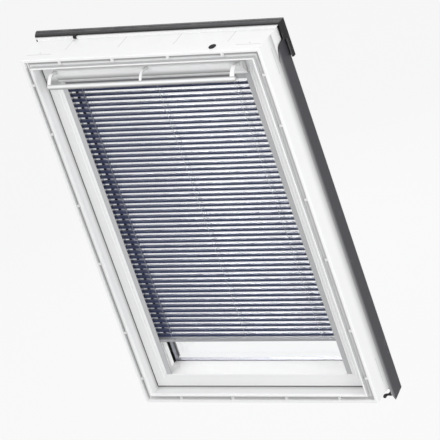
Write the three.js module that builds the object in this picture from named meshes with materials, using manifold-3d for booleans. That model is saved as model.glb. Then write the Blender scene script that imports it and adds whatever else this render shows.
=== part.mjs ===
// A white moulded roof window with a centre pivot sash, a control bar and ventilation flap across its top,
// double glazing, dark outside covers, and a venetian blind hung inside the sash between two side channels.
// Millimetres. X runs across the window, Y from the room to the outside, Z up the slope of the roof.
import * as THREE from "three";
import { mergeVertices } from "three/addons/utils/BufferGeometryUtils.js";
import Module from "manifold-3d";

const wasm = await Module();
wasm.setup();

// The whole window
const outerWidth = 780;
const outerHeight = 1178;
const frameDepth = 128;
const fitGap = 0.3; // between pieces that are seated on each other
const overrun = 5; // how far a cutter passes the face that it cuts
const sheetWall = 1.2; // every folded outside cover

// Frame section: a rim round the opening, a groove for the room's lining boards, and an outer lip
const rimWidth = 5;
const liningGrooveWidth = 16;
const liningGrooveDepth = 14;
const lipWidth = 9;
const lipSetback = 5.6;
const edgeRound = 1.2;
const noseDepth = 52;
const lockRebate = 14;
const lockRebateSlope = 2;
const coverSeatHeight = 44;
const coverSeatDepth = 1.5;
const hoodRibDepth = 12;
const hoodRibHeight = 7.7;

// Webs across the lining groove, a shallow moulding line behind each, and a line and a screw hole for the
// fixing bracket near each end of a side
const webPlacesAcrossShares = [-0.37, -0.126, 0.126, 0.37];
const webPlacesUpShares = [-0.452, -0.306, -0.0895, 0.0895, 0.306, 0.452];
const webWidth = 6;
const webReach = 10;
const webSetback = 1;
const mouldLineStart = 56;
const mouldLineWidth = 2.2;
const mouldLineDepth = 0.7;
const mouldLineLength = 56;
const bracketLineWidth = 2.4;
const bracketLineDepth = 1.2;
const bracketLineLength = 82;
const bracketLineFromEnd = 34;
const sideBracketLineStart = 63;
const topBracketLineStart = 34;
const bracketHoleRadius = 2.6;
const bracketHoleDepth = 9;
const bracketHoleOffset = 9;
const bracketHoleSides = 12;
const topBracketLineFromEnd = 6;

// Cable plug in the frame's top, and a rubber buffer hooked over the rib under the hood
const plugLength = 21;
const plugWidth = 11;
const plugThickness = 6;
const plugDome = 1.4;
const plugFromEnd = 158;
const plugDeep = 31;
const bufferWidth = 9;
const bufferFromEnd = 127;
const bufferDrop = 5;
const bufferWall = 3.4;
const bufferRise = 4.2;

// Rubber seal round the frame's inner face
const sealGrooveStart = 45;
const sealGrooveWidth = 6;
const sealGrooveDepth = 6;
const sealProud = 1.3;
const sealFoot = 3;

// Sash section
const sashGap = 3;
const sashFront = 43;
const sashFaceWidth = 45.5;
const ridgeHeight = 1.6;
const ridgeSlope = 2;
const ridgeWidth = 1.6;
const firstRidge = 26;
const secondRidge = 36.5;
const channelRebate = 27;
const sashTopFaceInset = 60;
const sashBottomFaceInset = 44.7;
const daylightInset = 55;
const glassReveal = 57;
const glassBite = 13;
const glassSideClearance = 2;
const sashBackChamfer = 14;
const sashBackTaper = 6;

// Double glazing
const paneThickness = 4;
const glassCavity = 16;
const glazingTape = 1.2;
const tapeWidth = 9;
const spacerWidth = 8;
const spacerSetback = 2;

// Outside covers
const claddingProud = 3;
const claddingStand = 15;
const claddingLap = 10;
const claddingTopDrop = 38;
const claddingTail = 50;
const claddingTailBack = 39;
const claddingTailShort = 24;
const claddingRoundHeight = 62;
const claddingRoundDepth = 34;
const claddingRoundSteps = 8;
const sashCoverInset = 9;
const sashCoverHeight = 9.9;
const sashCoverFlat = 41;
const sashCoverBottomFlat = 23;
const sashCoverSlope = 8;
const hoodSideReach = 15;
const hoodEndSlant = 5;
const hoodTopReach = 16.5;
const hoodLap = 6;
const hoodDepth = 25;
const hoodLip = 5;
const hoodLipRise = 8.3;
const hoodSlopeDepth = 16;
const hoodDrop = 119;
const hoodStepDrop = 58;
const hoodStepDepth = 13;
const sillTail = 38;
const sillHook = 12;
const apronSealDrop = 24;
const apronSealDepth = 11;
const apronSealWall = 2.4;
const apronSealEndGap = 2;
const apronLipReach = 37;
const apronLipMiddle = 5;
const apronLipMiddleDrop = 17;
const apronLipTipDrop = 6;
const apronHookDepth = 10;

// Pivot at mid height
const pivotDeep = 70;
const pivotPinRadius = 6;
const pivotPinClearance = 0.3;
const pivotPinReach = 11;
const pivotPlateHeight = 120;
const pivotPlateDepth = 34;
const pivotPlateWall = 4;
const pivotPlateRound = 10;
const socketHeight = 96;
const socketDepth = 30;
const socketWall = 4;
const socketRound = 9;

// Lock at the middle of the sash's top edge
const lockCaseWidth = 90;
const lockCaseHeight = 25;
const lockCaseStart = 58;
const lockCaseDepth = 22;
const boltWidth = 26;
const boltStart = 62;
const boltDepth = 12;
const boltReach = 12;
const boltTail = 20;
const boltNose = 4;
const boltClearance = 0.4;
const strikerWidth = 60;
const strikerWall = 2.5;
const strikerDepth = 24;
const strikerLipDrop = 11;

// Control bar, its arms and the ventilation flap
const flapHingeDrop = 58;
const flapHingeDeep = 37.4;
const flapBeadRadius = 3;
const hingeClearance = 0.3;
const hingeRailWall = 1.6;
const hingeRailLeg = 9;
const flapEndInset = 58;
const flapWall = 2.2;
const flapNeck = 5;
const flapRise = 38;
const flapForward = 12;
const flapTopRound = 9;
const flapReturn = 15;
const flapBulge = 1;
const flapLeafSteps = 7;
const flapRoundSteps = 6;
const barEndInset = 54;
const barHeight = 11.5;
const barDepth = 14;
const barRise = 17;
const barForward = 62.5;
const leftArmWidth = 11;
const centreArmWidth = 10;
const rightArmWidth = 14;
const leftArmFromEnd = 4;
const rightArmFromEnd = 10;
const armWall = 3.6;
const armEndWall = 5.2;
const armRise = 23;
const armBulgeShare = 0.333;
const armSteps = 12;
const ovalSteps = 24;
const hingeRailMouthStartShare = 0.12;
const hingeRailMouthEndShare = 1.38;
const hingeRailLipShare = 0.19;
const hingeRailSteps = 12;
const filterEndInset = 90;
const filterHeight = 13;
const filterDepth = 11;
const filterRise = 20;

// Blind
const slatPitch = 17.16;
const topSlatDrop = 101.4;
const lowestSlatRise = 175.8;
const slatWidth = 20;
const slatFront = 47;
const slatCrown = 1.7;
const slatThickness = 0.5;
const slatSteps = 5;
const slatEndInset = 51;
const ladderPlacesShares = [-0.81, 0, 0.81];
const ladderThickness = 1.1;
const ladderBite = 0.4;
const headrailDrop = 65;
const headrailHeight = 18.5;
const headrailDepth = 25;
const headrailWall = 1.4;
const headrailLip = 5;
const headrailRound = 2.5;
const headrailCapWall = 3;
const headrailCapReach = 4;
const headrailBracketWidth = 26;
const headrailBracketWall = 1.6;
const headrailBracketPlaceShare = 0.7;
const channelWidth = 16;
const channelWall = 1.5;
const channelDepth = 25;
const channelFootGap = 0.8;
const railDrop = 11.5;
const railHeight = 7.4;
const railRound = 2;
const railCapWall = 3;

// Sizes that follow
const frameFace = rimWidth + liningGrooveWidth + lipWidth;
const innerWidth = outerWidth - 2 * frameFace;
const innerHeight = outerHeight - 2 * frameFace;
const bottomFaceStart = lipSetback + edgeRound;
const coverSeatStart = frameDepth - coverSeatHeight;
const hoodRibStart = frameDepth - hoodRibDepth;
const hoodStart = frameDepth - hoodLap;
const originDeep = (bottomFaceStart + coverSeatStart) / 2;
const middleHeight = outerHeight / 2;
const innerTop = outerHeight - frameFace;
const mitreTrim = (fitGap / 2) * Math.SQRT2;
const glassSeat = sashFront + glassReveal;
const tapeStart = glassSeat + fitGap;
const innerPaneStart = tapeStart + glazingTape + fitGap;
const spacerStart = innerPaneStart + paneThickness + fitGap;
const outerPaneStart = innerPaneStart + paneThickness + glassCavity;
const spacerDepth = outerPaneStart - fitGap - spacerStart;
const sashBack = outerPaneStart + paneThickness;
const glassInset = daylightInset - glassBite;
const seatInset = glassInset - glassSideClearance;
const claddingBack = frameDepth + claddingStand;
const claddingTopEnd = outerHeight - claddingTopDrop;
const channelInset = sashGap + sashFaceWidth;
const slatBack = slatFront + slatWidth;
const topSlatHeight = innerTop - topSlatDrop;
const slatCount = Math.round((topSlatHeight - frameFace - lowestSlatRise) / slatPitch) + 1;
const railTop = topSlatHeight - (slatCount - 1) * slatPitch - railDrop;
const headrailTop = innerTop - headrailDrop;
const flapHingeHeight = innerTop - flapHingeDrop;
const flapLength = innerWidth - 2 * flapEndInset;
const barLength = innerWidth - 2 * barEndInset;
const filterLength = innerWidth - 2 * filterEndInset;
const plugAcross = outerWidth / 2 - plugFromEnd;
const bufferAcross = bufferFromEnd - outerWidth / 2;
const slatHalfLength = innerWidth / 2 - slatEndInset;
const headrailFront = sashFront + channelWall + fitGap;
const headrailBottom = headrailTop - headrailHeight;

const whitePlastic = { color: 0xf3f3f2, roughness: 0.42, metalness: 0 };
const darkSheet = { color: 0x4d4d52, roughness: 0.5, metalness: 0.35 };
const blackRubber = { color: 0x19191b, roughness: 0.8, metalness: 0 };
const greySheet = { color: 0xadadaf, roughness: 0.45, metalness: 0.2 };
const slatPaint = { color: 0x4a4d63, roughness: 0.35, metalness: 0.3 };
const zincSteel = { color: 0xb9bcc0, roughness: 0.35, metalness: 0.9 };
const clearGlass = { color: 0xe8eef0, roughness: 0.05, metalness: 0, transparent: true, opacity: 0.3 };
const foam = { color: 0x6c6d70, roughness: 0.95, metalness: 0 };
const brightSpacer = { color: 0x8d9093, roughness: 0.4, metalness: 0.6 };

// Turns a closed geometry into a solid that can be joined and cut.
function solidOf(geometry) {
  const plain = geometry.index ? geometry.toNonIndexed() : geometry.clone();
  plain.deleteAttribute("normal");
  plain.deleteAttribute("uv");
  const merged = mergeVertices(plain, 1e-4);
  const made = new wasm.Mesh({
    numProp: 3,
    vertProperties: merged.attributes.position.array,
    triVerts: new Uint32Array(merged.index.array),
  });
  return new wasm.Manifold(made);
}

function geometryOf(solid) {
  const made = solid.getMesh();
  const geometry = new THREE.BufferGeometry();
  geometry.setAttribute("position", new THREE.BufferAttribute(made.vertProperties, 3));
  geometry.setIndex(new THREE.BufferAttribute(made.triVerts, 1));
  return geometry;
}

function joined(...geometries) {
  return geometryOf(geometries.map(solidOf).reduce((sum, one) => sum.add(one)));
}

function cut(geometry, ...tools) {
  return geometryOf(tools.map(solidOf).reduce((left, one) => left.subtract(one), solidOf(geometry)));
}

// A box between two corners.
function block(x0, x1, y0, y1, z0, z1) {
  const geometry = new THREE.BoxGeometry(x1 - x0, y1 - y0, z1 - z0);
  return geometry.translate((x0 + x1) / 2, (y0 + y1) / 2, (z0 + z1) / 2);
}

// A round rod along X, Y or Z, from its middle.
function rod(axis, radius, length, x, y, z, sides = 24) {
  const geometry = new THREE.CylinderGeometry(radius, radius, length, sides);
  if (axis === "x") geometry.rotateZ(Math.PI / 2);
  if (axis === "z") geometry.rotateX(Math.PI / 2);
  return geometry.translate(x, y, z);
}

// A section given as [up, deep] points is run along X, from one end to the other.
function runAlongX(section, start, end) {
  const shape = new THREE.Shape(section.map(([up, deep]) => new THREE.Vector2(deep, up)));
  const geometry = new THREE.ExtrudeGeometry(shape, { depth: end - start, bevelEnabled: false });
  geometry.applyMatrix4(new THREE.Matrix4().makeBasis(
    new THREE.Vector3(0, 1, 0), new THREE.Vector3(0, 0, 1), new THREE.Vector3(1, 0, 0),
  ));
  return geometry.translate(start, 0, 0);
}

// A section given as [across, deep] points is run up Z, from one end to the other.
function runUpZ(section, start, end) {
  const shape = new THREE.Shape(section.map(([across, deep]) => new THREE.Vector2(across, deep)));
  const geometry = new THREE.ExtrudeGeometry(shape, { depth: end - start, bevelEnabled: false });
  return geometry.translate(0, 0, start);
}

// A closed surface from rows of corners, one section in each row. The rows close on themselves or end in caps.
function skin(rows, section, closed) {
  const counter = THREE.ShapeUtils.area(section) > 0;
  const size = section.length;
  const points = rows.flat().flatMap((p) => [p.x, p.y, p.z]);
  const faces = [];
  const face = (a, b, c) => faces.push(...(counter ? [a, b, c] : [a, c, b]));
  const spans = closed ? rows.length : rows.length - 1;
  for (let row = 0; row < spans; row += 1) {
    const here = row * size;
    const there = ((row + 1) % rows.length) * size;
    for (let k = 0; k < size; k += 1) {
      const next = (k + 1) % size;
      face(here + next, here + k, there + k);
      face(here + next, there + k, there + next);
    }
  }
  if (!closed) {
    const last = (rows.length - 1) * size;
    THREE.ShapeUtils.triangulateShape(section, []).forEach(([a, b, c]) => {
      const kept = THREE.ShapeUtils.area([section[a], section[b], section[c]]) > 0 === counter;
      const [p, q] = kept ? [b, c] : [c, b];
      face(a, p, q);
      face(last + a, last + q, last + p);
    });
  }
  const geometry = new THREE.BufferGeometry();
  geometry.setAttribute("position", new THREE.Float32BufferAttribute(points, 3));
  geometry.setIndex(faces);
  return geometry;
}

// One side of a rectangle with mitred ends. The section's points are [inset, deep], where the inset runs
// inwards from the frame's inner line, so a point's length along the side follows from its inset.
function mitredSide(section, span) {
  const flat = section.map(([inset, deep]) => new THREE.Vector2(inset, deep));
  const half = (inset) => span / 2 - inset - mitreTrim;
  const row = (sign) => section.map(([inset, deep]) => new THREE.Vector3(sign * half(inset), deep, inset));
  return skin([row(-1), row(1)], flat, false);
}

// The same section run round all four sides in one piece.
function ringOf(section) {
  const flat = section.map(([inset, deep]) => new THREE.Vector2(inset, deep));
  const corner = (right, top) => section.map(([inset, deep]) => new THREE.Vector3(
    right * (innerWidth / 2 - inset), deep, middleHeight + top * (innerHeight / 2 - inset),
  ));
  return skin([corner(-1, -1), corner(1, -1), corner(1, 1), corner(-1, 1)], flat, true);
}

// Points of an arc round [up, deep], between two angles measured from straight up towards the outside.
function arc(up, deep, radius, from, to, steps) {
  return Array.from({ length: steps + 1 }, (_, k) => {
    const turn = from + ((to - from) * k) / steps;
    return [up + radius * Math.cos(turn), deep + radius * Math.sin(turn)];
  });
}

const roofWindow = new THREE.Group();
const pieces = new THREE.Group();
pieces.position.y = -originDeep;
roofWindow.add(pieces);

function addPiece(name, geometry, finish) {
  const mesh = new THREE.Mesh(geometry, new THREE.MeshStandardMaterial(finish));
  mesh.name = name;
  mesh.geometry.computeVertexNormals();
  pieces.add(mesh);
  return mesh;
}

// Where each side of the window lies: a side's own X runs along it and its own Z points inwards.
const sides = {
  bottom: { place: [0, 0, frameFace], turn: 0, span: innerWidth },
  top: { place: [0, 0, innerTop], turn: Math.PI, span: innerWidth },
  left: { place: [-innerWidth / 2, 0, middleHeight], turn: Math.PI / 2, span: innerHeight },
  right: { place: [innerWidth / 2, 0, middleHeight], turn: -Math.PI / 2, span: innerHeight },
};

function addSide(name, side, geometry, finish) {
  const mesh = addPiece(name, geometry, finish);
  mesh.position.set(...sides[side].place);
  mesh.rotation.y = sides[side].turn;
  return mesh;
}

// Frame members: white moulded shell, mitred at the corners

function frameSection(withRebate, withRib) {
  const outer = -frameFace;
  const grooveInner = -rimWidth;
  const grooveOuter = -(rimWidth + liningGrooveWidth);
  const seat = outer + coverSeatDepth;
  const sealEnd = sealGrooveStart + sealGrooveWidth;
  const inner = withRebate
    ? [[-lockRebate, frameDepth], [-lockRebate, noseDepth + lockRebateSlope], [0, noseDepth]]
    : [[0, frameDepth]];
  const back = withRib
    ? [[outer, hoodRibStart], [outer - hoodRibHeight, hoodRibStart], [outer - hoodRibHeight, frameDepth]]
    : [[outer, coverSeatStart], [seat, coverSeatStart], [seat, frameDepth]];
  return [
    [0, edgeRound], [-edgeRound, 0], [grooveInner, 0], [grooveInner, liningGrooveDepth],
    [grooveOuter, liningGrooveDepth], [grooveOuter, lipSetback],
    [outer + edgeRound, lipSetback], [outer, bottomFaceStart],
    ...back,
    ...inner,
    [0, sealEnd], [-sealGrooveDepth, sealEnd], [-sealGrooveDepth, sealGrooveStart], [0, sealGrooveStart],
  ];
}

// At shares of the side's length, a shallow line on the outer face, and a web across the lining groove.
function mouldLineCutters(span, shares) {
  const outer = -frameFace;
  return shares.map((share) => {
    const along = share * span;
    return block(along - mouldLineWidth / 2, along + mouldLineWidth / 2, mouldLineStart,
      mouldLineStart + mouldLineLength, outer - overrun, outer + mouldLineDepth);
  });
}

function liningWebs(span, shares) {
  const root = -(rimWidth + liningGrooveWidth + lipWidth / 2);
  const tip = -(rimWidth + liningGrooveWidth) + webReach;
  return shares.map((share) => block(share * span - webWidth / 2, share * span + webWidth / 2,
    lipSetback + webSetback, liningGrooveDepth + overrun, root, tip));
}

// The line of a fixing bracket's edge near each end of a side.
function bracketLineCutters(span, start, fromEnd) {
  const outer = -frameFace;
  return [-1, 1].map((end) => {
    const middle = end * (span / 2 + frameFace - fromEnd - bracketLineLength / 2);
    return block(middle - bracketLineLength / 2, middle + bracketLineLength / 2, start,
      start + bracketLineWidth, outer - overrun, outer + bracketLineDepth);
  });
}

function bracketHoleCutters(span, start, fromEnd) {
  return [-1, 1].map((end) => {
    const middle = end * (span / 2 + frameFace - fromEnd - bracketLineLength / 2);
    return rod("z", bracketHoleRadius, bracketHoleDepth + overrun, middle, start + bracketHoleOffset,
      -frameFace + (bracketHoleDepth - overrun) / 2, bracketHoleSides);
  });
}

// A flat bar with round ends, its length along X and its thickness up Z.
function roundEnded(length, width, thickness, sides = 12) {
  const half = (length - width) / 2;
  const shape = new THREE.Shape();
  shape.absarc(half, 0, width / 2, -Math.PI / 2, Math.PI / 2, false);
  shape.absarc(-half, 0, width / 2, Math.PI / 2, -Math.PI / 2, false);
  return new THREE.ExtrudeGeometry(shape, { depth: thickness, bevelEnabled: false, curveSegments: sides });
}

// A plate with round corners, its height along the side's X, its width along Y and its wall along Z.
function roundPlate(height, width, round, wall) {
  const h = height / 2;
  const w = width / 2;
  const shape = new THREE.Shape();
  shape.absarc(h - round, w - round, round, 0, Math.PI / 2, false);
  shape.absarc(-h + round, w - round, round, Math.PI / 2, Math.PI, false);
  shape.absarc(-h + round, -w + round, round, Math.PI, Math.PI * 1.5, false);
  shape.absarc(h - round, -w + round, round, Math.PI * 1.5, Math.PI * 2, false);
  return new THREE.ExtrudeGeometry(shape, { depth: wall, bevelEnabled: false, curveSegments: 5 });
}

function addFrame() {
  const plugPocket = roundEnded(plugLength + 2 * fitGap, plugWidth + 2 * fitGap, plugThickness + overrun)
    .translate(-plugAcross, plugDeep, -frameFace - overrun);
  const across = webPlacesAcrossShares;
  const upward = webPlacesUpShares;
  addSide("frame_top", "top", cut(
    joined(mitredSide(frameSection(true, true), innerWidth), ...liningWebs(innerWidth, across)),
    ...mouldLineCutters(innerWidth, across), plugPocket,
    ...bracketLineCutters(innerWidth, topBracketLineStart, topBracketLineFromEnd),
    ...bracketHoleCutters(innerWidth, topBracketLineStart, topBracketLineFromEnd),
  ), whitePlastic);
  addSide("frame_bottom", "bottom", cut(
    joined(mitredSide(frameSection(true, false), innerWidth), ...liningWebs(innerWidth, across)),
    ...mouldLineCutters(innerWidth, across)), whitePlastic);
  const platePocket = roundPlate(pivotPlateHeight + 2 * fitGap, pivotPlateDepth + 2 * fitGap,
    pivotPlateRound + fitGap, pivotPlateWall + fitGap + overrun)
    .translate(0, pivotDeep, -pivotPlateWall - fitGap);
  ["left", "right"].forEach((side) => {
    addSide("frame_" + side, side, cut(
      joined(mitredSide(frameSection(false, false), innerHeight), ...liningWebs(innerHeight, upward)),
      ...bracketLineCutters(innerHeight, sideBracketLineStart, bracketLineFromEnd), platePocket,
    ), whitePlastic);
  });
}

function addFrameFittings() {
  const floor = -frameFace + plugThickness;
  const body = roundEnded(plugLength, plugWidth, plugThickness - fitGap);
  const crown = roundEnded(plugLength - 2 * plugDome, plugWidth - 2 * plugDome, plugDome + edgeRound)
    .translate(0, 0, -plugDome);
  addSide("cable_plug", "top", joined(body, crown).translate(-plugAcross, plugDeep, floor - plugThickness),
    blackRubber);
  const ribTop = outerHeight + hoodRibHeight;
  const legBack = hoodRibStart - fitGap;
  const legFront = legBack - bufferWall;
  const crownTop = ribTop + fitGap + bufferRise;
  addPiece("hood_buffer", runAlongX([
    [ribTop - bufferDrop, legBack], [ribTop + fitGap, legBack], [ribTop + fitGap, hoodStart - fitGap],
    [crownTop, hoodStart - fitGap], [crownTop, legFront + edgeRound], [crownTop - edgeRound, legFront],
    [ribTop - bufferDrop, legFront],
  ], bufferAcross - bufferWidth / 2, bufferAcross + bufferWidth / 2), blackRubber);
  const sealEnd = sealGrooveStart + sealGrooveWidth;
  addPiece("frame_seal", ringOf([
    [-sealGrooveDepth + fitGap, sealGrooveStart + fitGap],
    [-fitGap, sealGrooveStart + fitGap],
    [-fitGap, sealGrooveStart + sealFoot / 2],
    [sealProud, (sealGrooveStart + sealEnd) / 2],
    [-fitGap, sealEnd - sealFoot / 2],
    [-fitGap, sealEnd - fitGap],
    [-sealGrooveDepth + fitGap, sealEnd - fitGap],
  ]), blackRubber);
}

// Outside covers: dark painted sheet folded over the frame and the sash

function addSideCladding(name, sign) {
  const outer = -(frameFace + claddingProud);
  const seat = -frameFace + coverSeatDepth - fitGap;
  const section = [
    [seat, coverSeatStart], [outer + edgeRound, coverSeatStart], [outer, coverSeatStart + edgeRound],
    [outer, claddingBack - edgeRound], [outer + edgeRound, claddingBack],
    [fitGap + sheetWall, claddingBack], [fitGap + sheetWall, frameDepth - claddingLap],
    [fitGap, frameDepth - claddingLap], [fitGap, claddingBack - sheetWall],
    [outer + sheetWall, claddingBack - sheetWall], [outer + sheetWall, coverSeatStart + sheetWall],
    [seat, coverSeatStart + sheetWall],
  ].map(([inset, deep]) => [sign * (innerWidth / 2 - inset), deep]);
  const body = runUpZ(section, -claddingTail, claddingTopEnd);
  const reach = innerWidth / 2 + frameFace + claddingProud + overrun;
  const roundMiddle = [claddingTopEnd - claddingRoundHeight, coverSeatStart + claddingRoundDepth];
  const roundOff = [
    [claddingTopEnd + overrun, coverSeatStart - overrun],
    [claddingTopEnd + overrun, roundMiddle[1]],
    ...Array.from({ length: claddingRoundSteps + 1 }, (_, k) => {
      const turn = (Math.PI / 2) * (k / claddingRoundSteps);
      return [
        roundMiddle[0] + claddingRoundHeight * Math.cos(turn),
        roundMiddle[1] - claddingRoundDepth * Math.sin(turn),
      ];
    }),
    [roundMiddle[0], coverSeatStart - overrun],
  ];
  const tailCut = [
    [-claddingTail - overrun, coverSeatStart - overrun],
    [-claddingTailShort, coverSeatStart - overrun],
    [-claddingTailShort, coverSeatStart],
    [-claddingTail, coverSeatStart + claddingLap],
    [-claddingTailBack, claddingBack],
    [-claddingTailBack, claddingBack + overrun],
    [-claddingTail - overrun, claddingBack + overrun],
  ];
  const from = Math.min(sign * innerWidth / 2 - sign * overrun, sign * reach);
  const to = Math.max(sign * innerWidth / 2 - sign * overrun, sign * reach);
  const legFrom = Math.min(sign * (innerWidth / 2 - overrun), sign * (innerWidth / 2 - fitGap / 2));
  const legTo = Math.max(sign * (innerWidth / 2 - overrun), sign * (innerWidth / 2 - fitGap / 2));
  const legCut = (low, high) => block(legFrom, legTo, coverSeatStart, claddingBack - sheetWall, low, high);
  addPiece(name, cut(body, runAlongX(roundOff, from, to), runAlongX(tailCut, from, to),
    legCut(-claddingTail - overrun, frameFace + fitGap),
    legCut(innerTop - fitGap, claddingTopEnd + overrun)), darkSheet);
}

// The hood's section outside the frame: a lip turned down at the room side, a slope, and the back.
function addHood() {
  const wide = outerWidth / 2 + hoodSideReach;
  const top = outerHeight + hoodTopReach;
  const back = hoodStart + hoodDepth;
  const low = top - hoodDrop;
  const lipFoot = outerHeight + hoodLipRise;
  const slopeEnd = hoodStart + hoodSlopeDepth;
  const outline = [
    [low, hoodStart], [lipFoot, hoodStart], [lipFoot + hoodLip - edgeRound, hoodStart],
    [lipFoot + hoodLip, hoodStart + edgeRound], [top - edgeRound, slopeEnd - edgeRound], [top, slopeEnd],
    [top, back - edgeRound], [top - edgeRound, back], [low, back],
  ];
  const hollow = [
    [low - overrun, hoodStart - overrun], [lipFoot - sheetWall, hoodStart - overrun],
    [lipFoot, hoodStart + sheetWall], [lipFoot + hoodLip - sheetWall, hoodStart + sheetWall],
    [top - edgeRound - sheetWall, slopeEnd], [top - sheetWall, back - sheetWall],
    [low - overrun, back - sheetWall],
  ];
  const hollowHalf = wide - hoodEndSlant - sheetWall;
  const inside = runAlongX(hollow, -hollowHalf, hollowHalf);
  const endCuts = [-1, 1].map((sign) => runUpZ([
    [sign * (wide - hoodEndSlant), hoodStart - overrun], [sign * (wide - hoodEndSlant), hoodStart],
    [sign * wide, slopeEnd], [sign * (wide + overrun), slopeEnd],
    [sign * (wide + overrun), hoodStart - overrun],
  ], low - overrun, top + overrun));
  const step = block(-wide - overrun, wide + overrun, hoodStart - overrun, hoodStart + hoodStepDepth,
    low - overrun, top - hoodStepDrop);
  const sashWay = innerWidth / 2 + sheetWall;
  const openBack = block(-sashWay, sashWay, hoodStart, back + overrun, low - overrun, innerTop + overrun);
  addPiece("top_hood", cut(runAlongX(outline, -wide, wide), inside, step, openBack, ...endCuts),
    darkSheet);
}

function addSill() {
  const half = innerWidth / 2 - sheetWall - 2 * fitGap;
  const tail = -frameFace - sillTail;
  const hookStart = claddingBack - sillHook;
  const section = [
    [fitGap, frameDepth - claddingLap], [fitGap + sheetWall, frameDepth - claddingLap],
    [fitGap + sheetWall, claddingBack], [tail, claddingBack], [tail, hookStart],
    [tail + sheetWall, hookStart], [tail + sheetWall, claddingBack - sheetWall],
    [fitGap, claddingBack - sheetWall],
  ].map(([inset, deep]) => [frameFace + inset, deep]);
  addPiece("bottom_sill", runAlongX(section, -half, half), darkSheet);
}

// A rubber strip under the frame: a flange in the cover seat, a leg hanging from it, and a lip that runs
// back up under the frame's bottom face and ends in a small hook.
function addApronSeal() {
  const wall = apronSealWall;
  const top = coverSeatDepth - fitGap;
  const low = top - wall;
  const start = coverSeatStart + fitGap;
  const legFront = start + apronSealDepth;
  const legBack = legFront + wall;
  const middle = start - apronLipMiddle;
  const tip = start - apronLipReach;
  const half = outerWidth / 2 - apronSealEndGap;
  addPiece("apron_seal", runAlongX([
    [top, start], [top, legBack + apronSealDepth], [low, legBack + apronSealDepth], [low, legBack],
    [-apronSealDrop, legBack], [-apronSealDrop - wall / 2, legFront], [-apronLipMiddleDrop - wall, middle],
    [-apronLipTipDrop - 2 * wall, tip + apronHookDepth], [-apronLipTipDrop - wall, tip + apronHookDepth / 2],
    [-apronLipTipDrop - 2 * wall, tip], [-apronLipTipDrop - wall, tip - wall],
    [-apronLipTipDrop, tip + apronHookDepth / 2], [-apronLipTipDrop - wall / 2, tip + apronHookDepth],
    [-apronLipMiddleDrop, middle], [-apronSealDrop + wall, legFront], [low, legFront], [low, start],
  ], -half, half), blackRubber);
}

// Sash members: the same moulded white shell, with two fine ridges on the stiles

function sashSection(kind) {
  const back = [
    [seatInset, glassSeat], [seatInset, sashBack], [sashGap + sashBackTaper, sashBack],
    [sashGap, sashBack - sashBackChamfer], [sashGap, sashFront + edgeRound],
    [sashGap + edgeRound, sashFront],
  ];
  const ridge = (place) => [
    [sashGap + place, sashFront], [sashGap + place + ridgeSlope, sashFront - ridgeHeight],
    [sashGap + place + ridgeSlope + ridgeWidth, sashFront - ridgeHeight],
    [sashGap + place + 2 * ridgeSlope + ridgeWidth, sashFront],
  ];
  if (kind === "stile") {
    return [
      ...ridge(firstRidge), ...ridge(secondRidge), [channelInset, sashFront],
      [channelInset, sashFront + channelRebate], [daylightInset, sashFront + channelRebate],
      [daylightInset, glassSeat], ...back,
    ];
  }
  if (kind === "top") {
    return [[sashTopFaceInset, sashFront], [sashTopFaceInset, sashFront + channelRebate],
      [daylightInset, sashFront + channelRebate], [daylightInset, glassSeat], ...back];
  }
  return [[sashBottomFaceInset - edgeRound, sashFront], [sashBottomFaceInset, sashFront + edgeRound],
    [daylightInset, glassSeat], ...back];
}

function addSash() {
  const lockPocket = block(-lockCaseWidth / 2 - fitGap, lockCaseWidth / 2 + fitGap,
    lockCaseStart - fitGap, lockCaseStart + lockCaseDepth + fitGap,
    sashGap - overrun, sashGap + lockCaseHeight + fitGap);
  const filterInset = sashGap + filterRise;
  const filterPocket = block(-filterLength / 2 - fitGap, filterLength / 2 + fitGap,
    sashFront - overrun, sashFront + filterDepth + fitGap,
    filterInset - fitGap, filterInset + filterHeight + fitGap);
  const ears = [-1, 1].map((end) => {
    const near = end * (innerWidth / 2 - sashTopFaceInset - overrun);
    const far = end * (innerWidth / 2 - channelInset - fitGap);
    return block(Math.min(near, far), Math.max(near, far), sashFront,
      sashFront + channelRebate - fitGap, channelInset + fitGap, sashTopFaceInset);
  });
  addSide("sash_top", "top", cut(joined(mitredSide(sashSection("top"), innerWidth), ...ears),
    lockPocket, filterPocket), whitePlastic);
  addSide("sash_bottom", "bottom", mitredSide(sashSection("bottom"), innerWidth), whitePlastic);
  const socketPocket = roundPlate(socketHeight + 2 * fitGap, socketDepth + 2 * fitGap,
    socketRound + fitGap, socketWall + fitGap + overrun).translate(0, pivotDeep, sashGap - overrun);
  const pinRoom = rod("z", pivotPinRadius + 2 * pivotPinClearance, 2 * (pivotPinReach + overrun),
    0, pivotDeep, sashGap, 24);
  ["left", "right"].forEach((side) => {
    addSide("sash_" + side, side, cut(mitredSide(sashSection("stile"), innerHeight), socketPocket, pinRoom),
      whitePlastic);
  });
  addSide("vent_filter", "top", block(-filterLength / 2, filterLength / 2, sashFront + edgeRound,
    sashFront + filterDepth, filterInset, filterInset + filterHeight), foam);
}

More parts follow.
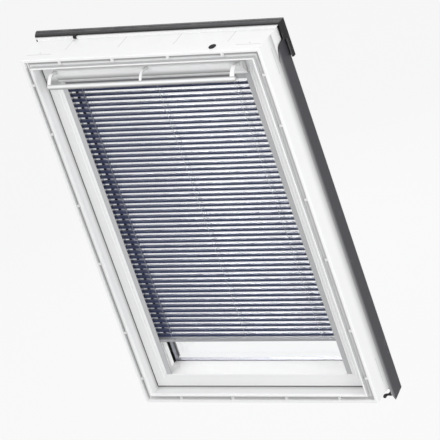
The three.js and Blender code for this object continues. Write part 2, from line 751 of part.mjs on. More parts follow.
function addGlazing() {
  addPiece("glazing_tape", ringOf([
    [daylightInset - edgeRound, tapeStart], [daylightInset - edgeRound, tapeStart + glazingTape],
    [daylightInset - edgeRound - tapeWidth, tapeStart + glazingTape],
    [daylightInset - edgeRound - tapeWidth, tapeStart],
  ]), blackRubber);
  const halfWide = innerWidth / 2 - glassInset;
  const halfHigh = innerHeight / 2 - glassInset;
  [["inner_pane", innerPaneStart], ["outer_pane", outerPaneStart]].forEach(([name, start]) => {
    addPiece(name, block(-halfWide, halfWide, start, start + paneThickness,
      middleHeight - halfHigh, middleHeight + halfHigh), clearGlass);
  });
  const spacerOuter = glassInset + spacerSetback;
  addPiece("glass_spacer", ringOf([
    [spacerOuter, spacerStart], [spacerOuter + spacerWidth, spacerStart],
    [spacerOuter + spacerWidth + edgeRound, spacerStart + edgeRound],
    [spacerOuter + spacerWidth + edgeRound, spacerStart + spacerDepth - edgeRound],
    [spacerOuter + spacerWidth, spacerStart + spacerDepth], [spacerOuter, spacerStart + spacerDepth],
  ]), brightSpacer);
}

function addSashCovers() {
  const start = sashBack + fitGap;
  const top = start + sashCoverHeight;
  Object.keys(sides).forEach((side) => {
    const flatEnd = sashCoverInset + (side === "bottom" ? sashCoverBottomFlat : sashCoverFlat);
    const foot = flatEnd + sashCoverSlope;
    addSide("sash_cover_" + side, side, mitredSide([
      [sashCoverInset, start], [sashCoverInset, top - edgeRound], [sashCoverInset + edgeRound, top],
      [flatEnd, top], [foot, start + sheetWall], [foot, start], [foot - 2 * sheetWall, start],
      [flatEnd - sheetWall / 2, top - sheetWall], [sashCoverInset + sheetWall, top - sheetWall],
      [sashCoverInset + sheetWall, start],
    ], sides[side].span), darkSheet);
  });
}

// Pivots at mid height: a plate with a pin on the frame, a socket plate on the sash

function addPivots() {
  ["left", "right"].forEach((side) => {
    const plate = roundPlate(pivotPlateHeight, pivotPlateDepth, pivotPlateRound, pivotPlateWall)
      .translate(0, pivotDeep, -pivotPlateWall);
    const pinLength = sashGap + pivotPinReach + pivotPlateWall / 2;
    const pin = rod("z", pivotPinRadius, pinLength, 0, pivotDeep, pinLength / 2 - pivotPlateWall / 2);
    addSide("pivot_plate_" + side, side, joined(plate, pin), zincSteel);
    const socket = roundPlate(socketHeight, socketDepth, socketRound, socketWall - fitGap)
      .translate(0, pivotDeep, sashGap);
    const bore = rod("z", pivotPinRadius + pivotPinClearance, 4 * socketWall, 0, pivotDeep, sashGap);
    addSide("pivot_socket_" + side, side, cut(socket, bore), zincSteel);
  });
}

function addLock() {
  const slot = block(-boltWidth / 2 - boltClearance, boltWidth / 2 + boltClearance,
    boltStart - boltClearance, boltStart + boltDepth + boltClearance,
    sashGap - overrun, sashGap + lockCaseHeight - sheetWall);
  addSide("lock_case", "top", cut(block(-lockCaseWidth / 2, lockCaseWidth / 2, lockCaseStart,
    lockCaseStart + lockCaseDepth, sashGap, sashGap + lockCaseHeight), slot), zincSteel);
  const tip = sashGap - boltReach;
  const half = boltWidth / 2;
  const deepEnd = boltStart + boltDepth;
  addSide("lock_bolt", "top", runAlongX([
    [tip, boltStart], [tip, deepEnd - boltNose], [tip + boltNose, deepEnd],
    [tip + boltTail, deepEnd], [tip + boltTail, boltStart],
  ], -half, half), zincSteel);
  const roof = -lockRebate + fitGap;
  const lipDeep = noseDepth + lockRebateSlope + 2 * fitGap;
  addSide("striker_plate", "top", runAlongX([
    [roof, lipDeep], [roof, lipDeep + strikerDepth], [roof + strikerWall, lipDeep + strikerDepth],
    [roof + strikerWall, lipDeep + strikerWall], [roof + strikerLipDrop, lipDeep + strikerWall],
    [roof + strikerLipDrop, lipDeep],
  ], -strikerWidth / 2, strikerWidth / 2), zincSteel);
}

// Hinge rail on the sash, and the flap, arms and control bar that turn together in it

function addHingeRail() {
  const inner = flapBeadRadius + hingeClearance;
  const outer = inner + hingeRailWall;
  const back = sashFront - fitGap;
  const mouthStart = Math.PI * hingeRailMouthStartShare;
  const mouthEnd = Math.PI * hingeRailMouthEndShare;
  const lipTurn = Math.PI * hingeRailLipShare;
  addPiece("flap_hinge_rail", runAlongX([
    ...arc(flapHingeHeight, flapHingeDeep, inner, mouthStart, mouthEnd, hingeRailSteps),
    ...arc(flapHingeHeight, flapHingeDeep, outer, mouthEnd, Math.PI, hingeRailSteps / 3),
    [flapHingeHeight - outer, back],
    [flapHingeHeight + hingeRailLeg, back],
    [flapHingeHeight + hingeRailLeg, back - hingeRailWall],
    ...arc(flapHingeHeight, flapHingeDeep, outer, lipTurn, mouthStart, 1),
  ], -flapLength / 2, flapLength / 2), whitePlastic);
}

// The flap's section: a bead in the rail, a leaf that leans into the room, and a rounded return at its top.
function flapCurve(offset) {
  const topUp = flapRise - flapTopRound;
  const points = Array.from({ length: flapLeafSteps }, (_, k) => {
    const share = k / flapLeafSteps;
    const lean = Math.sin((share * Math.PI) / 2);
    return [flapNeck + (topUp - flapNeck) * share, -flapBulge - (flapForward - flapBulge) * lean - offset];
  });
  const roundUp = Array.from({ length: flapRoundSteps + 1 }, (_, k) => {
    const turn = (Math.PI / 2) * (k / flapRoundSteps);
    const radius = flapTopRound + offset;
    return [topUp + radius * Math.sin(turn), -flapForward + flapTopRound - radius * Math.cos(turn)];
  });
  const end = [flapRise + flapWall / 2 + offset, -flapForward + flapReturn];
  return [...points, ...roundUp, end];
}

function addFlap() {
  const place = ([up, deep]) => [flapHingeHeight + up, flapHingeDeep + deep];
  const leaf = runAlongX([
    [0, -flapWall / 2], ...flapCurve(flapWall / 2), ...flapCurve(-flapWall / 2).reverse(), [0, flapWall / 2],
  ].map(place), -flapLength / 2, flapLength / 2);
  const bead = rod("x", flapBeadRadius, flapLength, 0, flapHingeDeep, flapHingeHeight, 20);
  const endSection = [[0, flapWall / 2], ...flapCurve(0)].map(place);
  const ends = [-flapLength / 2, flapLength / 2 - flapWall].map((from) => runAlongX(endSection, from,
    from + flapWall));
  addPiece("vent_flap", joined(leaf, bead, ...ends), whitePlastic);
}

// An oval section in [up, deep] points round a middle, with a margin outside it.
function ovalSection(up, deep, margin) {
  return Array.from({ length: ovalSteps }, (_, k) => {
    const turn = (Math.PI * 2 * k) / ovalSteps;
    return [up + (barHeight / 2 + margin) * Math.cos(turn), deep + (barDepth / 2 + margin) * Math.sin(turn)];
  });
}

function addControlBar() {
  const up = flapHingeHeight + barRise;
  const deep = flapHingeDeep - barForward;
  const ends = [-1, 1].map((end) => {
    const near = end * (barLength / 2 - barHeight / 4);
    const far = end * (barLength / 2);
    return runAlongX(ovalSection(up, deep, -edgeRound), Math.min(near, far), Math.max(near, far));
  });
  const middle = runAlongX(ovalSection(up, deep, 0), -barLength / 2 + edgeRound, barLength / 2 - edgeRound);
  addPiece("control_bar", joined(middle, ...ends), whitePlastic);

  const flapUp = flapHingeHeight + flapRise - flapTopRound;
  const flapDeep = flapHingeDeep - flapForward + flapTopRound / 2;
  const spine = (share) => {
    const turn = (share * Math.PI) / 2;
    return [
      up + (flapUp + armRise / 4 - up) * Math.sin(turn) + armRise * armBulgeShare * Math.sin(2 * turn),
      deep + ((flapDeep - deep) * (1 - Math.cos(turn) + share)) / 2,
    ];
  };
  const wall = (share) => armWall + (armEndWall - armWall) * (2 * share - 1) ** 2;
  const edge = (sign) => Array.from({ length: armSteps + 1 }, (_, k) => {
    const share = k / armSteps;
    const [a, b] = [spine(Math.max(0, share - 1 / armSteps)), spine(Math.min(1, share + 1 / armSteps))];
    const size = Math.hypot(b[0] - a[0], b[1] - a[1]);
    const [here, there] = spine(share);
    const side = (sign * wall(share)) / 2;
    return [here + (side * (b[1] - a[1])) / size, there - (side * (b[0] - a[0])) / size];
  });
  const armSection = [...edge(1), ...edge(-1).reverse()];
  const place = ([a, b]) => [flapHingeHeight + a, flapHingeDeep + b];
  const behindFlap = [
    ...flapCurve(flapWall / 2 + fitGap), [flapRise + flapTopRound, 0], [flapRise + flapTopRound, flapReturn],
    [0, flapReturn],
  ].map(place);
  const arms = [
    ["left", leftArmFromEnd - barLength / 2, leftArmWidth],
    ["centre", 0, centreArmWidth],
    ["right", barLength / 2 - rightArmFromEnd, rightArmWidth],
  ];
  arms.forEach(([name, middleAt, width]) => {
    const [from, to] = [middleAt - width / 2, middleAt + width / 2];
    const arm = runAlongX(armSection, from, to);
    const barRoom = runAlongX(ovalSection(up, deep, fitGap), from - overrun, to + overrun);
    const flapRoom = runAlongX(behindFlap, from - overrun, to + overrun);
    addPiece("bar_arm_" + name, cut(arm, barRoom, flapRoom), whitePlastic);
  });
}

// Blind: headrail, slats on their ladders, bottom rail, and a side channel in each stile

function addHeadrail() {
  const back = headrailFront + headrailDepth;
  const wall = headrailWall;
  const half = innerWidth / 2 - channelInset - channelWall - 3 * fitGap - headrailCapWall;
  const [front, low] = [headrailFront, headrailBottom];
  addPiece("headrail", runAlongX([
    [headrailTop, front], [headrailTop, front + headrailLip], [headrailTop - wall, front + headrailLip],
    [headrailTop - wall, front + wall], [low + headrailRound, front + wall],
    [low + wall, front + headrailRound], [low + wall, back - headrailRound],
    [low + headrailRound, back - wall], [headrailTop - wall, back - wall],
    [headrailTop - wall, back - headrailLip], [headrailTop, back - headrailLip], [headrailTop, back],
    [low + headrailRound, back], [low, back - headrailRound], [low, front + headrailRound],
    [low + headrailRound, front],
  ], -half, half), greySheet);
  const tongue = wall + fitGap;
  [["left", -1], ["right", 1]].forEach(([name, sign]) => {
    const span = (near, far) => [Math.min(sign * near, sign * far), Math.max(sign * near, sign * far)];
    const [from, to] = span(half + fitGap, half + fitGap + headrailCapWall);
    const [tipFrom, tipTo] = span(half - headrailCapReach, half + fitGap + wall);
    addPiece("headrail_cap_" + name, joined(
      block(from, to, front, back, low, headrailTop),
      block(tipFrom, tipTo, front + headrailRound + tongue, back - headrailRound - tongue,
        low + tongue, headrailTop - wall - tongue),
    ), greySheet);
    const middle = sign * headrailBracketPlaceShare * half;
    const foot = [middle - headrailBracketWidth / 2, middle + headrailBracketWidth / 2];
    const hang = innerTop - daylightInset - fitGap;
    const clip = headrailBracketWall;
    const leg = Math.max(back, sashFront + channelRebate) + fitGap;
    addPiece("headrail_bracket_" + name, runAlongX([
      [low - fitGap, leg], [low - fitGap, back - headrailRound - headrailLip],
      [low - fitGap - clip, back - headrailRound - headrailLip], [low - fitGap - clip, leg + clip],
      [hang - clip, leg + clip], [hang - clip, leg + clip + 2 * headrailLip],
      [hang, leg + clip + 2 * headrailLip], [hang, leg],
    ], foot[0], foot[1]), zincSteel);
  });
}

function addSideChannels() {
  const top = innerTop - sashTopFaceInset - fitGap;
  const bottomLine = (deep) => frameFace + channelFootGap + sashBottomFaceInset
    + ((daylightInset - sashBottomFaceInset) * (deep - sashFront)) / (glassSeat - sashFront);
  const footEnd = sashFront + channelDepth + overrun;
  const foot = [
    [frameFace, sashFront - overrun], [bottomLine(sashFront), sashFront - overrun],
    [bottomLine(sashFront), sashFront], [bottomLine(footEnd), footEnd], [frameFace, footEnd],
  ];
  [["left", -1], ["right", 1]].forEach(([name, sign]) => {
    const outer = channelInset + fitGap;
    const section = [
      [outer, sashFront], [channelInset + channelWidth, sashFront],
      [channelInset + channelWidth, sashFront + channelWall], [outer + channelWall, sashFront + channelWall],
      [outer + channelWall, sashFront + channelDepth], [outer, sashFront + channelDepth],
    ].map(([inset, deep]) => [sign * (innerWidth / 2 - inset), deep]);
    const near = sign * (innerWidth / 2 - channelInset + overrun);
    const far = sign * (innerWidth / 2 - channelInset - channelWidth - overrun);
    addPiece("side_channel_" + name, cut(runUpZ(section, frameFace, top),
      runAlongX(foot, Math.min(near, far), Math.max(near, far))), greySheet);
  });
}

function addSlats() {
  const bow = (share) => slatCrown * (1 - (2 * share - 1) ** 2);
  const line = (rise) => Array.from({ length: slatSteps + 1 }, (_, k) => {
    const share = k / slatSteps;
    return [bow(share) + rise, slatFront + slatWidth * share];
  });
  const slat = runAlongX([...line(0), ...line(-slatThickness).reverse()], -slatHalfLength, slatHalfLength);
  const slats = Array.from({ length: slatCount }, (_, k) => slat.clone()
    .translate(0, 0, topSlatHeight - k * slatPitch));
  const places = ladderPlacesShares.map((share) => share * slatHalfLength);
  const tapes = places.flatMap((place) => [slatFront - ladderThickness + ladderBite,
    slatBack - ladderBite].map((deep) => block(place - ladderThickness / 2, place + ladderThickness / 2,
    deep, deep + ladderThickness, railTop + fitGap, headrailBottom - fitGap)));
  addPiece("slat_curtain", joined(...slats, ...tapes), slatPaint);
}

function addBottomRail() {
  const half = slatHalfLength - railCapWall - fitGap;
  const low = railTop - railHeight;
  const section = [
    [railTop, slatFront + railRound], [railTop, slatBack - railRound], [railTop - railRound, slatBack],
    [low + railRound, slatBack], [low, slatBack - railRound], [low, slatFront + railRound],
    [low + railRound, slatFront], [railTop - railRound, slatFront],
  ];
  addPiece("bottom_rail", runAlongX(section, -half, half), greySheet);
  addPiece("bottom_rail_cap_left", runAlongX(section, -slatHalfLength, -half - fitGap), greySheet);
  addPiece("bottom_rail_cap_right", runAlongX(section, half + fitGap, slatHalfLength), greySheet);
}

addFrame();
addFrameFittings();
addSideCladding("side_cladding_left", -1);
addSideCladding("side_cladding_right", 1);
addHood();
addSill();
addApronSeal();
addSash();
addGlazing();
addSashCovers();
addPivots();
addLock();
addHingeRail();
addFlap();
addControlBar();
addHeadrail();
addSideChannels();
addSlats();
addBottomRail();

export default roofWindow;
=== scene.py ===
import math
import bmesh
import bpy
import numpy as np
from mathutils import Matrix, Vector


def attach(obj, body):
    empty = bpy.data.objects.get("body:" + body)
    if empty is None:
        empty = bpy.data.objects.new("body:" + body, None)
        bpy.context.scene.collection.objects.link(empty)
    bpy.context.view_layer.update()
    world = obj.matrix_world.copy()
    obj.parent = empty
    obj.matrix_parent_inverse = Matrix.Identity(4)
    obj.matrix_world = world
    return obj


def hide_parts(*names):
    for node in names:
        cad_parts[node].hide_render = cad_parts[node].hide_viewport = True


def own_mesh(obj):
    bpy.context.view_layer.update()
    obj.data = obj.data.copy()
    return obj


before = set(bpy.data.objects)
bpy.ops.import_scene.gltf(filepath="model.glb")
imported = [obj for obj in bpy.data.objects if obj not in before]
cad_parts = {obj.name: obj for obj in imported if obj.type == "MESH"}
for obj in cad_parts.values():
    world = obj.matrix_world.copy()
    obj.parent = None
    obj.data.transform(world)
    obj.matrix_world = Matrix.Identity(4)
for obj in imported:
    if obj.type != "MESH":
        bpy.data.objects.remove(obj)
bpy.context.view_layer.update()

# Where the photographer stands: high on the right of the window and far off, with a long lens, and the
# camera rolled so that the slope of the roof shows. The point's place is measured from the frame's corners.
scene = bpy.context.scene
camera_data = bpy.data.cameras.new("camera")
camera_data.sensor_width = 36.0
camera_data.lens = 319.69
camera_data.clip_end = 60.0
camera = bpy.data.objects.new("camera", camera_data)
scene.collection.objects.link(camera)
to_right = Vector((0.85807, 0.42093, -0.29416)).normalized()
to_camera = Vector((0.5131, -0.72623, 0.45752)).normalized()
to_top = to_camera.cross(to_right).normalized()
camera_turn = Matrix((to_right, to_top, to_camera)).transposed().to_4x4()
camera.matrix_world = Matrix.Translation((5.7413, -8.0539, 5.68)) @ camera_turn
scene.camera = camera
scene.view_settings.view_transform = "Standard"


# The studio: a white room that lights the window evenly, a wide lamp high on the left in front, another on the
# right, and three behind. Seen by the camera, the room is the pale grey of the photograph's paper.
def add_node(tree, kind, values=None, **settings):
    """A node in a tree, with its settings and its unlinked socket values."""
    node = tree.nodes.new("ShaderNode" + kind)
    for setting, value in settings.items():
        setattr(node, setting, value)
    for socket, value in (values or {}).items():
        node.inputs[socket].default_value = value
    return node


def wire(tree, *pairs):
    """Links each pair's first socket to its second."""
    for source, target in pairs:
        tree.links.new(source, target)


def maths(tree, operation, *terms):
    """A Math node's result. Each term is a number or another node's output."""
    node = add_node(tree, "Math", operation=operation)
    for socket, term in zip(node.inputs, terms):
        if isinstance(term, (int, float)):
            socket.default_value = term
        else:
            tree.links.new(term, socket)
    return node.outputs[0]


def ray_is(tree, *kinds):
    """1 for a ray of any of the kinds and 0 for the others: the largest of their outputs."""
    rays = add_node(tree, "LightPath").outputs
    share = rays[f"Is {kinds[0]} Ray"]
    for kind in kinds[1:]:
        share = maths(tree, "MAXIMUM", share, rays[f"Is {kind} Ray"])
    return share


def studio_mix(tree, share, lit, seen, end):
    """Sends the lit shader to the tree's end, and the seen one by its share."""
    mix = add_node(tree, "MixShader")
    wire(tree, (share, mix.inputs["Fac"]), (lit.outputs[0], mix.inputs[1]), (seen.outputs[0], mix.inputs[2]),
         (mix.outputs[0], add_node(tree, end).inputs["Surface"]))


backdrop_grey = 0.93
world = bpy.data.worlds.new("studio_room")
scene.world = world
world.use_nodes = True
tree = world.node_tree
tree.nodes.clear()
room_light = add_node(tree, "Background", {"Color": (0.985, 0.99, 1.0, 1), "Strength": 0.6})
room_seen = add_node(tree, "Background", {"Color": (backdrop_grey, backdrop_grey, backdrop_grey, 1)})
studio_mix(tree, ray_is(tree, "Camera", "Glossy", "Transmission"), room_light, room_seen, "OutputWorld")


def studio_lamp(name, place, aim, wide, tall, power):
    """An oblong area lamp at place, turned so that its face looks at aim, and hidden from the camera."""
    data = bpy.data.lights.new(name, "AREA")
    data.shape = "RECTANGLE"
    data.size = wide
    data.size_y = tall
    data.energy = power
    lamp = bpy.data.objects.new(name, data)
    scene.collection.objects.link(lamp)
    lamp.visible_camera = False
    lamp.location = place
    lamp.rotation_euler = (Vector(aim) - Vector(place)).to_track_quat("-Z", "Y").to_euler()
    return lamp


studio_lamp("lamp_above_left", (-1.6, -2.6, 3.6), (0, 0, 0.6), 2.4, 2.4, 52)
studio_lamp("lamp_right", (3.4, -1.2, 1.6), (0, 0, 0.6), 2.0, 2.0, 58)
# A tall soft lamp stands behind the window on the left, where the slats mirror it as a pale band.
studio_lamp("lamp_behind", (-1.41, 2.56, 0.9), (0.13, 0, 0.6), 0.3, 1.5, 19.0)
studio_lamp("lamp_high_behind", (-0.9, 2.4, 3.4), (0, 0, 0.5), 1.6, 1.6, 24)
# A small lamp behind the glass lights the sash's inner walls between the slats. No view through the panes shows it.
small_lamp = studio_lamp("lamp_through_glass", (0.28, 1.1, 0.5), (-0.3, 0.03, 0.5), 0.4, 0.9, 4)
small_lamp.visible_transmission = False

# The floor is a pale sheet of studio paper well below the window, so wide that no edge of it shows.
# It reads as the backdrop to the camera and still takes the window's soft shadow.
paper_grey, paper_height, paper_corners = 0.965, -0.75, ((-25, -20), (25, -20), (25, 45), (-25, 45))
paper = bpy.data.materials.new("studio_paper")
paper.use_nodes = True
tree = paper.node_tree
tree.nodes.clear()
paper_matt = add_node(tree, "BsdfDiffuse", {"Color": (0.75, 0.75, 0.75, 1)})
paper_seen = add_node(tree, "Emission", {"Color": (paper_grey, paper_grey, paper_grey, 1)})
seen_share = maths(tree, "MULTIPLY", ray_is(tree, "Camera", "Transmission"), 0.9)
studio_mix(tree, seen_share, paper_matt, paper_seen, "OutputMaterial")
floor_mesh = bpy.data.meshes.new("studio_floor")
floor_mesh.from_pydata([(x, y, paper_height) for x, y in paper_corners], [], [(0, 1, 2, 3)])
floor_mesh.materials.append(paper)
studio_floor = bpy.data.objects.new("studio_floor", floor_mesh)
scene.collection.objects.link(studio_floor)

# The frame: four white moulded members round a timber core, mitred and glued at the corners. A groove for the
# room's lining boards runs round the front, with short webs across it, and a rubber seal sits further in.
# Sizes are in millimetres: the clear opening inside the frame, and how far its room face lies before the origin.
inner_half, inner_low, inner_top = 360.0, 30.0, 1148.0
middle_up = (inner_low + inner_top) / 2
room_face, mitre_gap, sharp_edge = 45.4, 0.06, math.radians(38)


def soften(outline, radius, steps=4):
    """Rounds the corners of a closed outline. Near a corner P with A and B at one radius along its two edges,
    the points are P + (1 - s)^2 (A - P) + s^2 (B - P), and one more point each side keeps the flats flat."""
    corner = np.asarray(outline, float)
    back, ahead = np.roll(corner, 1, 0) - corner, np.roll(corner, -1, 0) - corner
    back_size, ahead_size = np.linalg.norm(back, axis=1), np.linalg.norm(ahead, axis=1)
    reach = np.minimum(np.broadcast_to(radius, back_size.shape), 0.42 * np.minimum(back_size, ahead_size))
    to_a, to_b = back * (reach / back_size)[:, None], ahead * (reach / ahead_size)[:, None]
    s = np.linspace(0, 1, steps + 1)[None, :, None]
    curve = corner[:, None] + to_a[:, None] * (1 - s) ** 2 + to_b[:, None] * s ** 2
    held = [(corner + 1.15 * to_a)[:, None], curve, (corner + 1.15 * to_b)[:, None]]
    return np.concatenate(held, 1).reshape(-1, corner.shape[1])


def edge_marks(marks, steps=4):
    """For a softened outline, one mark for each face round it: a corner's faces take the mark of the edge
    before it, and the flat after the corner takes its own. A mark is a finish's place in the piece's list."""
    own = np.asarray(marks)
    before = np.roll(own, 1)
    return np.concatenate([np.repeat(before[:, None], steps + 2, 1), own[:, None]], 1).ravel()


def build(name, grids, finishes, marks=None, ring=False):
    """Makes one mesh from grids of points [row along the path, column round the section], given in millimetres
    across, deep from the room face, and up. Each point joins the next in its row and column, and flat faces close
    the path's two ends, unless it is a ring."""
    points, faces, chosen, start = [], [], [], 0
    for number, grid in enumerate(grids):
        rows, columns = grid.shape[:2]
        here = start + np.arange(rows * columns).reshape(rows, columns)
        beside = np.roll(here, -1, 1)
        ahead, ahead_beside = np.roll(here, -1, 0), np.roll(beside, -1, 0)
        last = rows if ring else rows - 1
        quads = np.stack([here, beside, ahead_beside, ahead], -1)[:last].reshape(-1, 4)
        band = np.zeros(columns, int) if marks is None else marks[number]
        chosen.append(np.tile(band, last))
        faces += quads.tolist()
        if not ring:
            faces += [here[0].tolist(), here[-1].tolist()]
            chosen.append(np.zeros(2, int))
        points.append((grid.reshape(-1, 3) - (0, room_face, 0)) / 1000)
        start += rows * columns
    mesh = bpy.data.meshes.new(name)
    mesh.from_pydata(np.concatenate(points).tolist(), [], faces)
    for finish in finishes:
        mesh.materials.append(finish)
    mesh.polygons.foreach_set("material_index", np.concatenate(chosen).astype(np.int32))
    shell = bmesh.new()
    shell.from_mesh(mesh)
    bmesh.ops.recalc_face_normals(shell, faces=shell.faces)
    shell.to_mesh(mesh)
    shell.free()
    mesh.shade_smooth()
    mesh.set_sharp_from_angle(angle=sharp_edge)
    piece = bpy.data.objects.new(name, mesh)
    scene.collection.objects.link(piece)
    return piece


side_lines = {"bottom": ((0, inner_low), (1, 0), (0, 1), 2 * inner_half),
              "top": ((0, inner_top), (-1, 0), (0, -1), 2 * inner_half),
              "left": ((-inner_half, middle_up), (0, -1), (1, 0), inner_top - inner_low),
              "right": ((inner_half, middle_up), (0, 1), (-1, 0), inner_top - inner_low)}


def along_side(side, section, start=None, end=None):
    """Runs a section of (inset, deep) points along one side of the window. The inset counts inwards from the
    frame's inner line. Without a start and end, the run's ends are mitred: half its length less the inset."""
    origin, line, inward, span = (np.asarray(value, float) for value in side_lines[side])
    inset, deep = np.asarray(section, float).T
    half = span / 2 - inset - mitre_gap
    ends = [-half, half] if start is None else [np.full_like(inset, start), np.full_like(inset, end)]
    flat = [origin + end[:, None] * line + inset[:, None] * inward for end in ends]
    return np.stack([np.stack([row[:, 0], deep, row[:, 1]], 1) for row in flat])


def new_group(name, inputs, outputs):
    """An empty shader node group with its two end nodes. An input is a number or, from three values, a vector."""
    group = bpy.data.node_groups.new(name, "ShaderNodeTree")
    for label, value in inputs.items():
        kind = "NodeSocketVector" if isinstance(value, tuple) else "NodeSocketFloat"
        group.interface.new_socket(label, in_out="INPUT", socket_type=kind).default_value = value
    for label in outputs:
        group.interface.new_socket(label, in_out="OUTPUT", socket_type="NodeSocketFloat")
    return group, group.nodes.new("NodeGroupInput").outputs, group.nodes.new("NodeGroupOutput").inputs


def texture(tree, kind, values=None, **settings):
    """A texture node on the object's own coordinates."""
    node = add_node(tree, "Tex" + kind, values, **settings)
    tree.links.new(add_node(tree, "TexCoord").outputs["Object"], node.inputs["Vector"])
    return node


def ranged(tree, value, start, end, low=0.0, high=1.0, **settings):
    """A value that runs from low at start to high at end, and is held beyond them."""
    node = add_node(tree, "MapRange", {"From Min": start, "From Max": end, "To Min": low, "To Max": high}, **settings)
    tree.links.new(value, node.inputs[0])
    return node.outputs[0]


def spread(tree, mask, low, high):
    """A value that goes from low to high as the mask goes from 0 to 1."""
    return ranged(tree, mask, 0.0, 1.0, low, high)


def towards(tree, way, start, end):
    """0 to 1 as a face's normal, in the object's own axes, turns towards a way: the share between two cosines."""
    cosine = add_node(tree, "VectorMath", {1: way}, operation="DOT_PRODUCT")
    tree.links.new(add_node(tree, "TexCoord").outputs["Normal"], cosine.inputs[0])
    return ranged(tree, cosine.outputs["Value"], start, end)


# Moulded skin: the faint orange peel of foam set against a polished mould, in two sizes, and a slow drift of
# tone over the part. Height is for the bump, Drift and Peel run from 0 to 1.
skin_group, entry, leave = new_group("moulded_skin", {"Peel Scale": 900.0, "Drift Scale": 9.0},
                                     ("Height", "Drift", "Peel"))
peel = texture(skin_group, "Noise", {"Detail": 3.0, "Roughness": 0.55})
swell = texture(skin_group, "Noise", {"Scale": 110.0, "Detail": 2.0})
drift = texture(skin_group, "Noise", {"Detail": 4.0, "Roughness": 0.6})
wire(skin_group, (entry["Peel Scale"], peel.inputs["Scale"]), (entry["Drift Scale"], drift.inputs["Scale"]),
     (maths(skin_group, "MULTIPLY_ADD", peel.outputs["Fac"], 0.35, swell.outputs["Fac"]), leave["Height"]),
     (drift.outputs["Fac"], leave["Drift"]), (peel.outputs["Fac"], leave["Peel"]))

# Handling: dust that settles where a face looks up the roof or outwards, broken up by noise, and small scuffs.
# Both are masks from 0 to 1.
handling_group, entry, leave = new_group("dust_and_scuffs", {"Dust": 0.2, "Scuff Scale": 60.0}, ("Dust", "Scuff"))
cloud = texture(handling_group, "Noise", {"Scale": 22.0, "Detail": 5.0, "Roughness": 0.65})
scratch = texture(handling_group, "Noise", {"Detail": 6.0, "Roughness": 0.7, "Distortion": 0.6})
dusted = maths(handling_group, "MULTIPLY", towards(handling_group, (0.0, 0.35, 0.94), 0.35, 1.0),
               ranged(handling_group, cloud.outputs["Fac"], 0.35, 0.75))
wire(handling_group, (entry["Scuff Scale"], scratch.inputs["Scale"]),
     (maths(handling_group, "MULTIPLY", dusted, entry["Dust"]), leave["Dust"]),
     (ranged(handling_group, scratch.outputs["Fac"], 0.6, 0.74), leave["Scuff"]))


def new_finish(name):
    """A new material, with its tree and its shader."""
    made = bpy.data.materials.new(name)
    made.use_nodes = True
    return made, made.node_tree, made.node_tree.nodes["Principled BSDF"]


def shade_of(tree, group, **values):
    """Places a node group in a material, with its own input values, and gives its outputs."""
    node = tree.nodes.new("ShaderNodeGroup")
    node.node_tree = group
    for socket, value in values.items():
        node.inputs[socket.replace("_", " ")].default_value = value
    return node.outputs


def blend_colours(tree, mask, low, high):
    """A colour that goes from low to high with the mask. Either end may be a colour or another node's output."""
    mix = add_node(tree, "Mix", data_type="RGBA")
    tree.links.new(mask, mix.inputs[0])
    for socket, value in ((mix.inputs[6], low), (mix.inputs[7], high)):
        if isinstance(value, tuple):
            socket.default_value = (*value, 1)
        else:
            tree.links.new(value, socket)
    return mix.outputs[2]


def object_axes(tree):
    """A point's place along the object's own X, Y and Z, in metres."""
    split = add_node(tree, "SeparateXYZ")
    tree.links.new(add_node(tree, "TexCoord").outputs["Object"], split.inputs[0])
    return split.outputs


def along_axis(tree, axis, start, end):
    """0 before start and 1 after end along one axis of the object, with a smooth run between, in metres."""
    return ranged(tree, object_axes(tree)[axis], start, end, interpolation_type="SMOOTHSTEP")


def bump(tree, shader, height, strength, distance):
    """Sends a height through a Bump node to the shader's normal."""
    node = add_node(tree, "Bump", {"Strength": strength, "Distance": distance})
    wire(tree, (height, node.inputs["Height"]), (node.outputs[0], shader.inputs["Normal"]))


def dress(tree, shader, colour, roughness, *relief):
    """Gives a shader its colour and roughness, and a relief where there is one: its height, strength, distance."""
    wire(tree, (colour, shader.inputs["Base Color"]), (roughness, shader.inputs["Roughness"]))
    if relief:
        bump(tree, shader, *relief)


def tone_of(finish):
    """The node output that gives a finish its colour so far."""
    return finish.node_tree.nodes["Principled BSDF"].inputs["Base Color"].links[0].from_socket


def recolour(finish, mask, low=None, high=None):
    """Blends a finish's colour from low to high by a mask in its own tree. An end left out is the colour so far."""
    tree, tone = finish.node_tree, tone_of(finish)
    mixed = blend_colours(tree, mask, tone if low is None else low, tone if high is None else high)
    tree.links.new(mixed, tree.nodes["Principled BSDF"].inputs["Base Color"])


def shade_along(finish, axis, start, end, low=None, high=None):
    """Blends a finish's colour along an axis of the object: low before start, and high after end, in metres."""
    recolour(finish, along_axis(finish.node_tree, axis, start, end), low, high)


def moulded(name, colour, shade, roughness=0.42, depth=0.00006, dust=0.06):
    """White or grey moulded skin: colour drifting towards shade, orange peel, a little dust."""
    made, tree, shader = new_finish(name)
    skin = shade_of(tree, skin_group)
    handled = shade_of(tree, handling_group, Dust=dust)
    toned = blend_colours(tree, spread(tree, skin["Drift"], 0.0, 1.0), colour, shade)
    dress(tree, shader, blend_colours(tree, handled["Dust"], toned, (0.62, 0.6, 0.56)),
          spread(tree, skin["Peel"], roughness - 0.06, roughness + 0.08), skin["Height"], 0.35, depth)
    return made


white_tones = (0.925, 0.925, 0.92), (0.885, 0.887, 0.885)
white_skin = moulded("white_moulding", *white_tones)
# The groove's inner wall is the white moulding painted grey: painted shade inside the groove.
groove_wall_painted_shade = moulded("groove_wall_painted_shade", (0.62, 0.623, 0.625), (0.56, 0.563, 0.565), 0.6, 0.0001, 0.0)
# The lip is painted whiter than the rest of the moulding: a painted highlight on its lit edge.
lip_skin = moulded("white_lip", (0.995, 0.995, 0.993), (0.98, 0.981, 0.98))
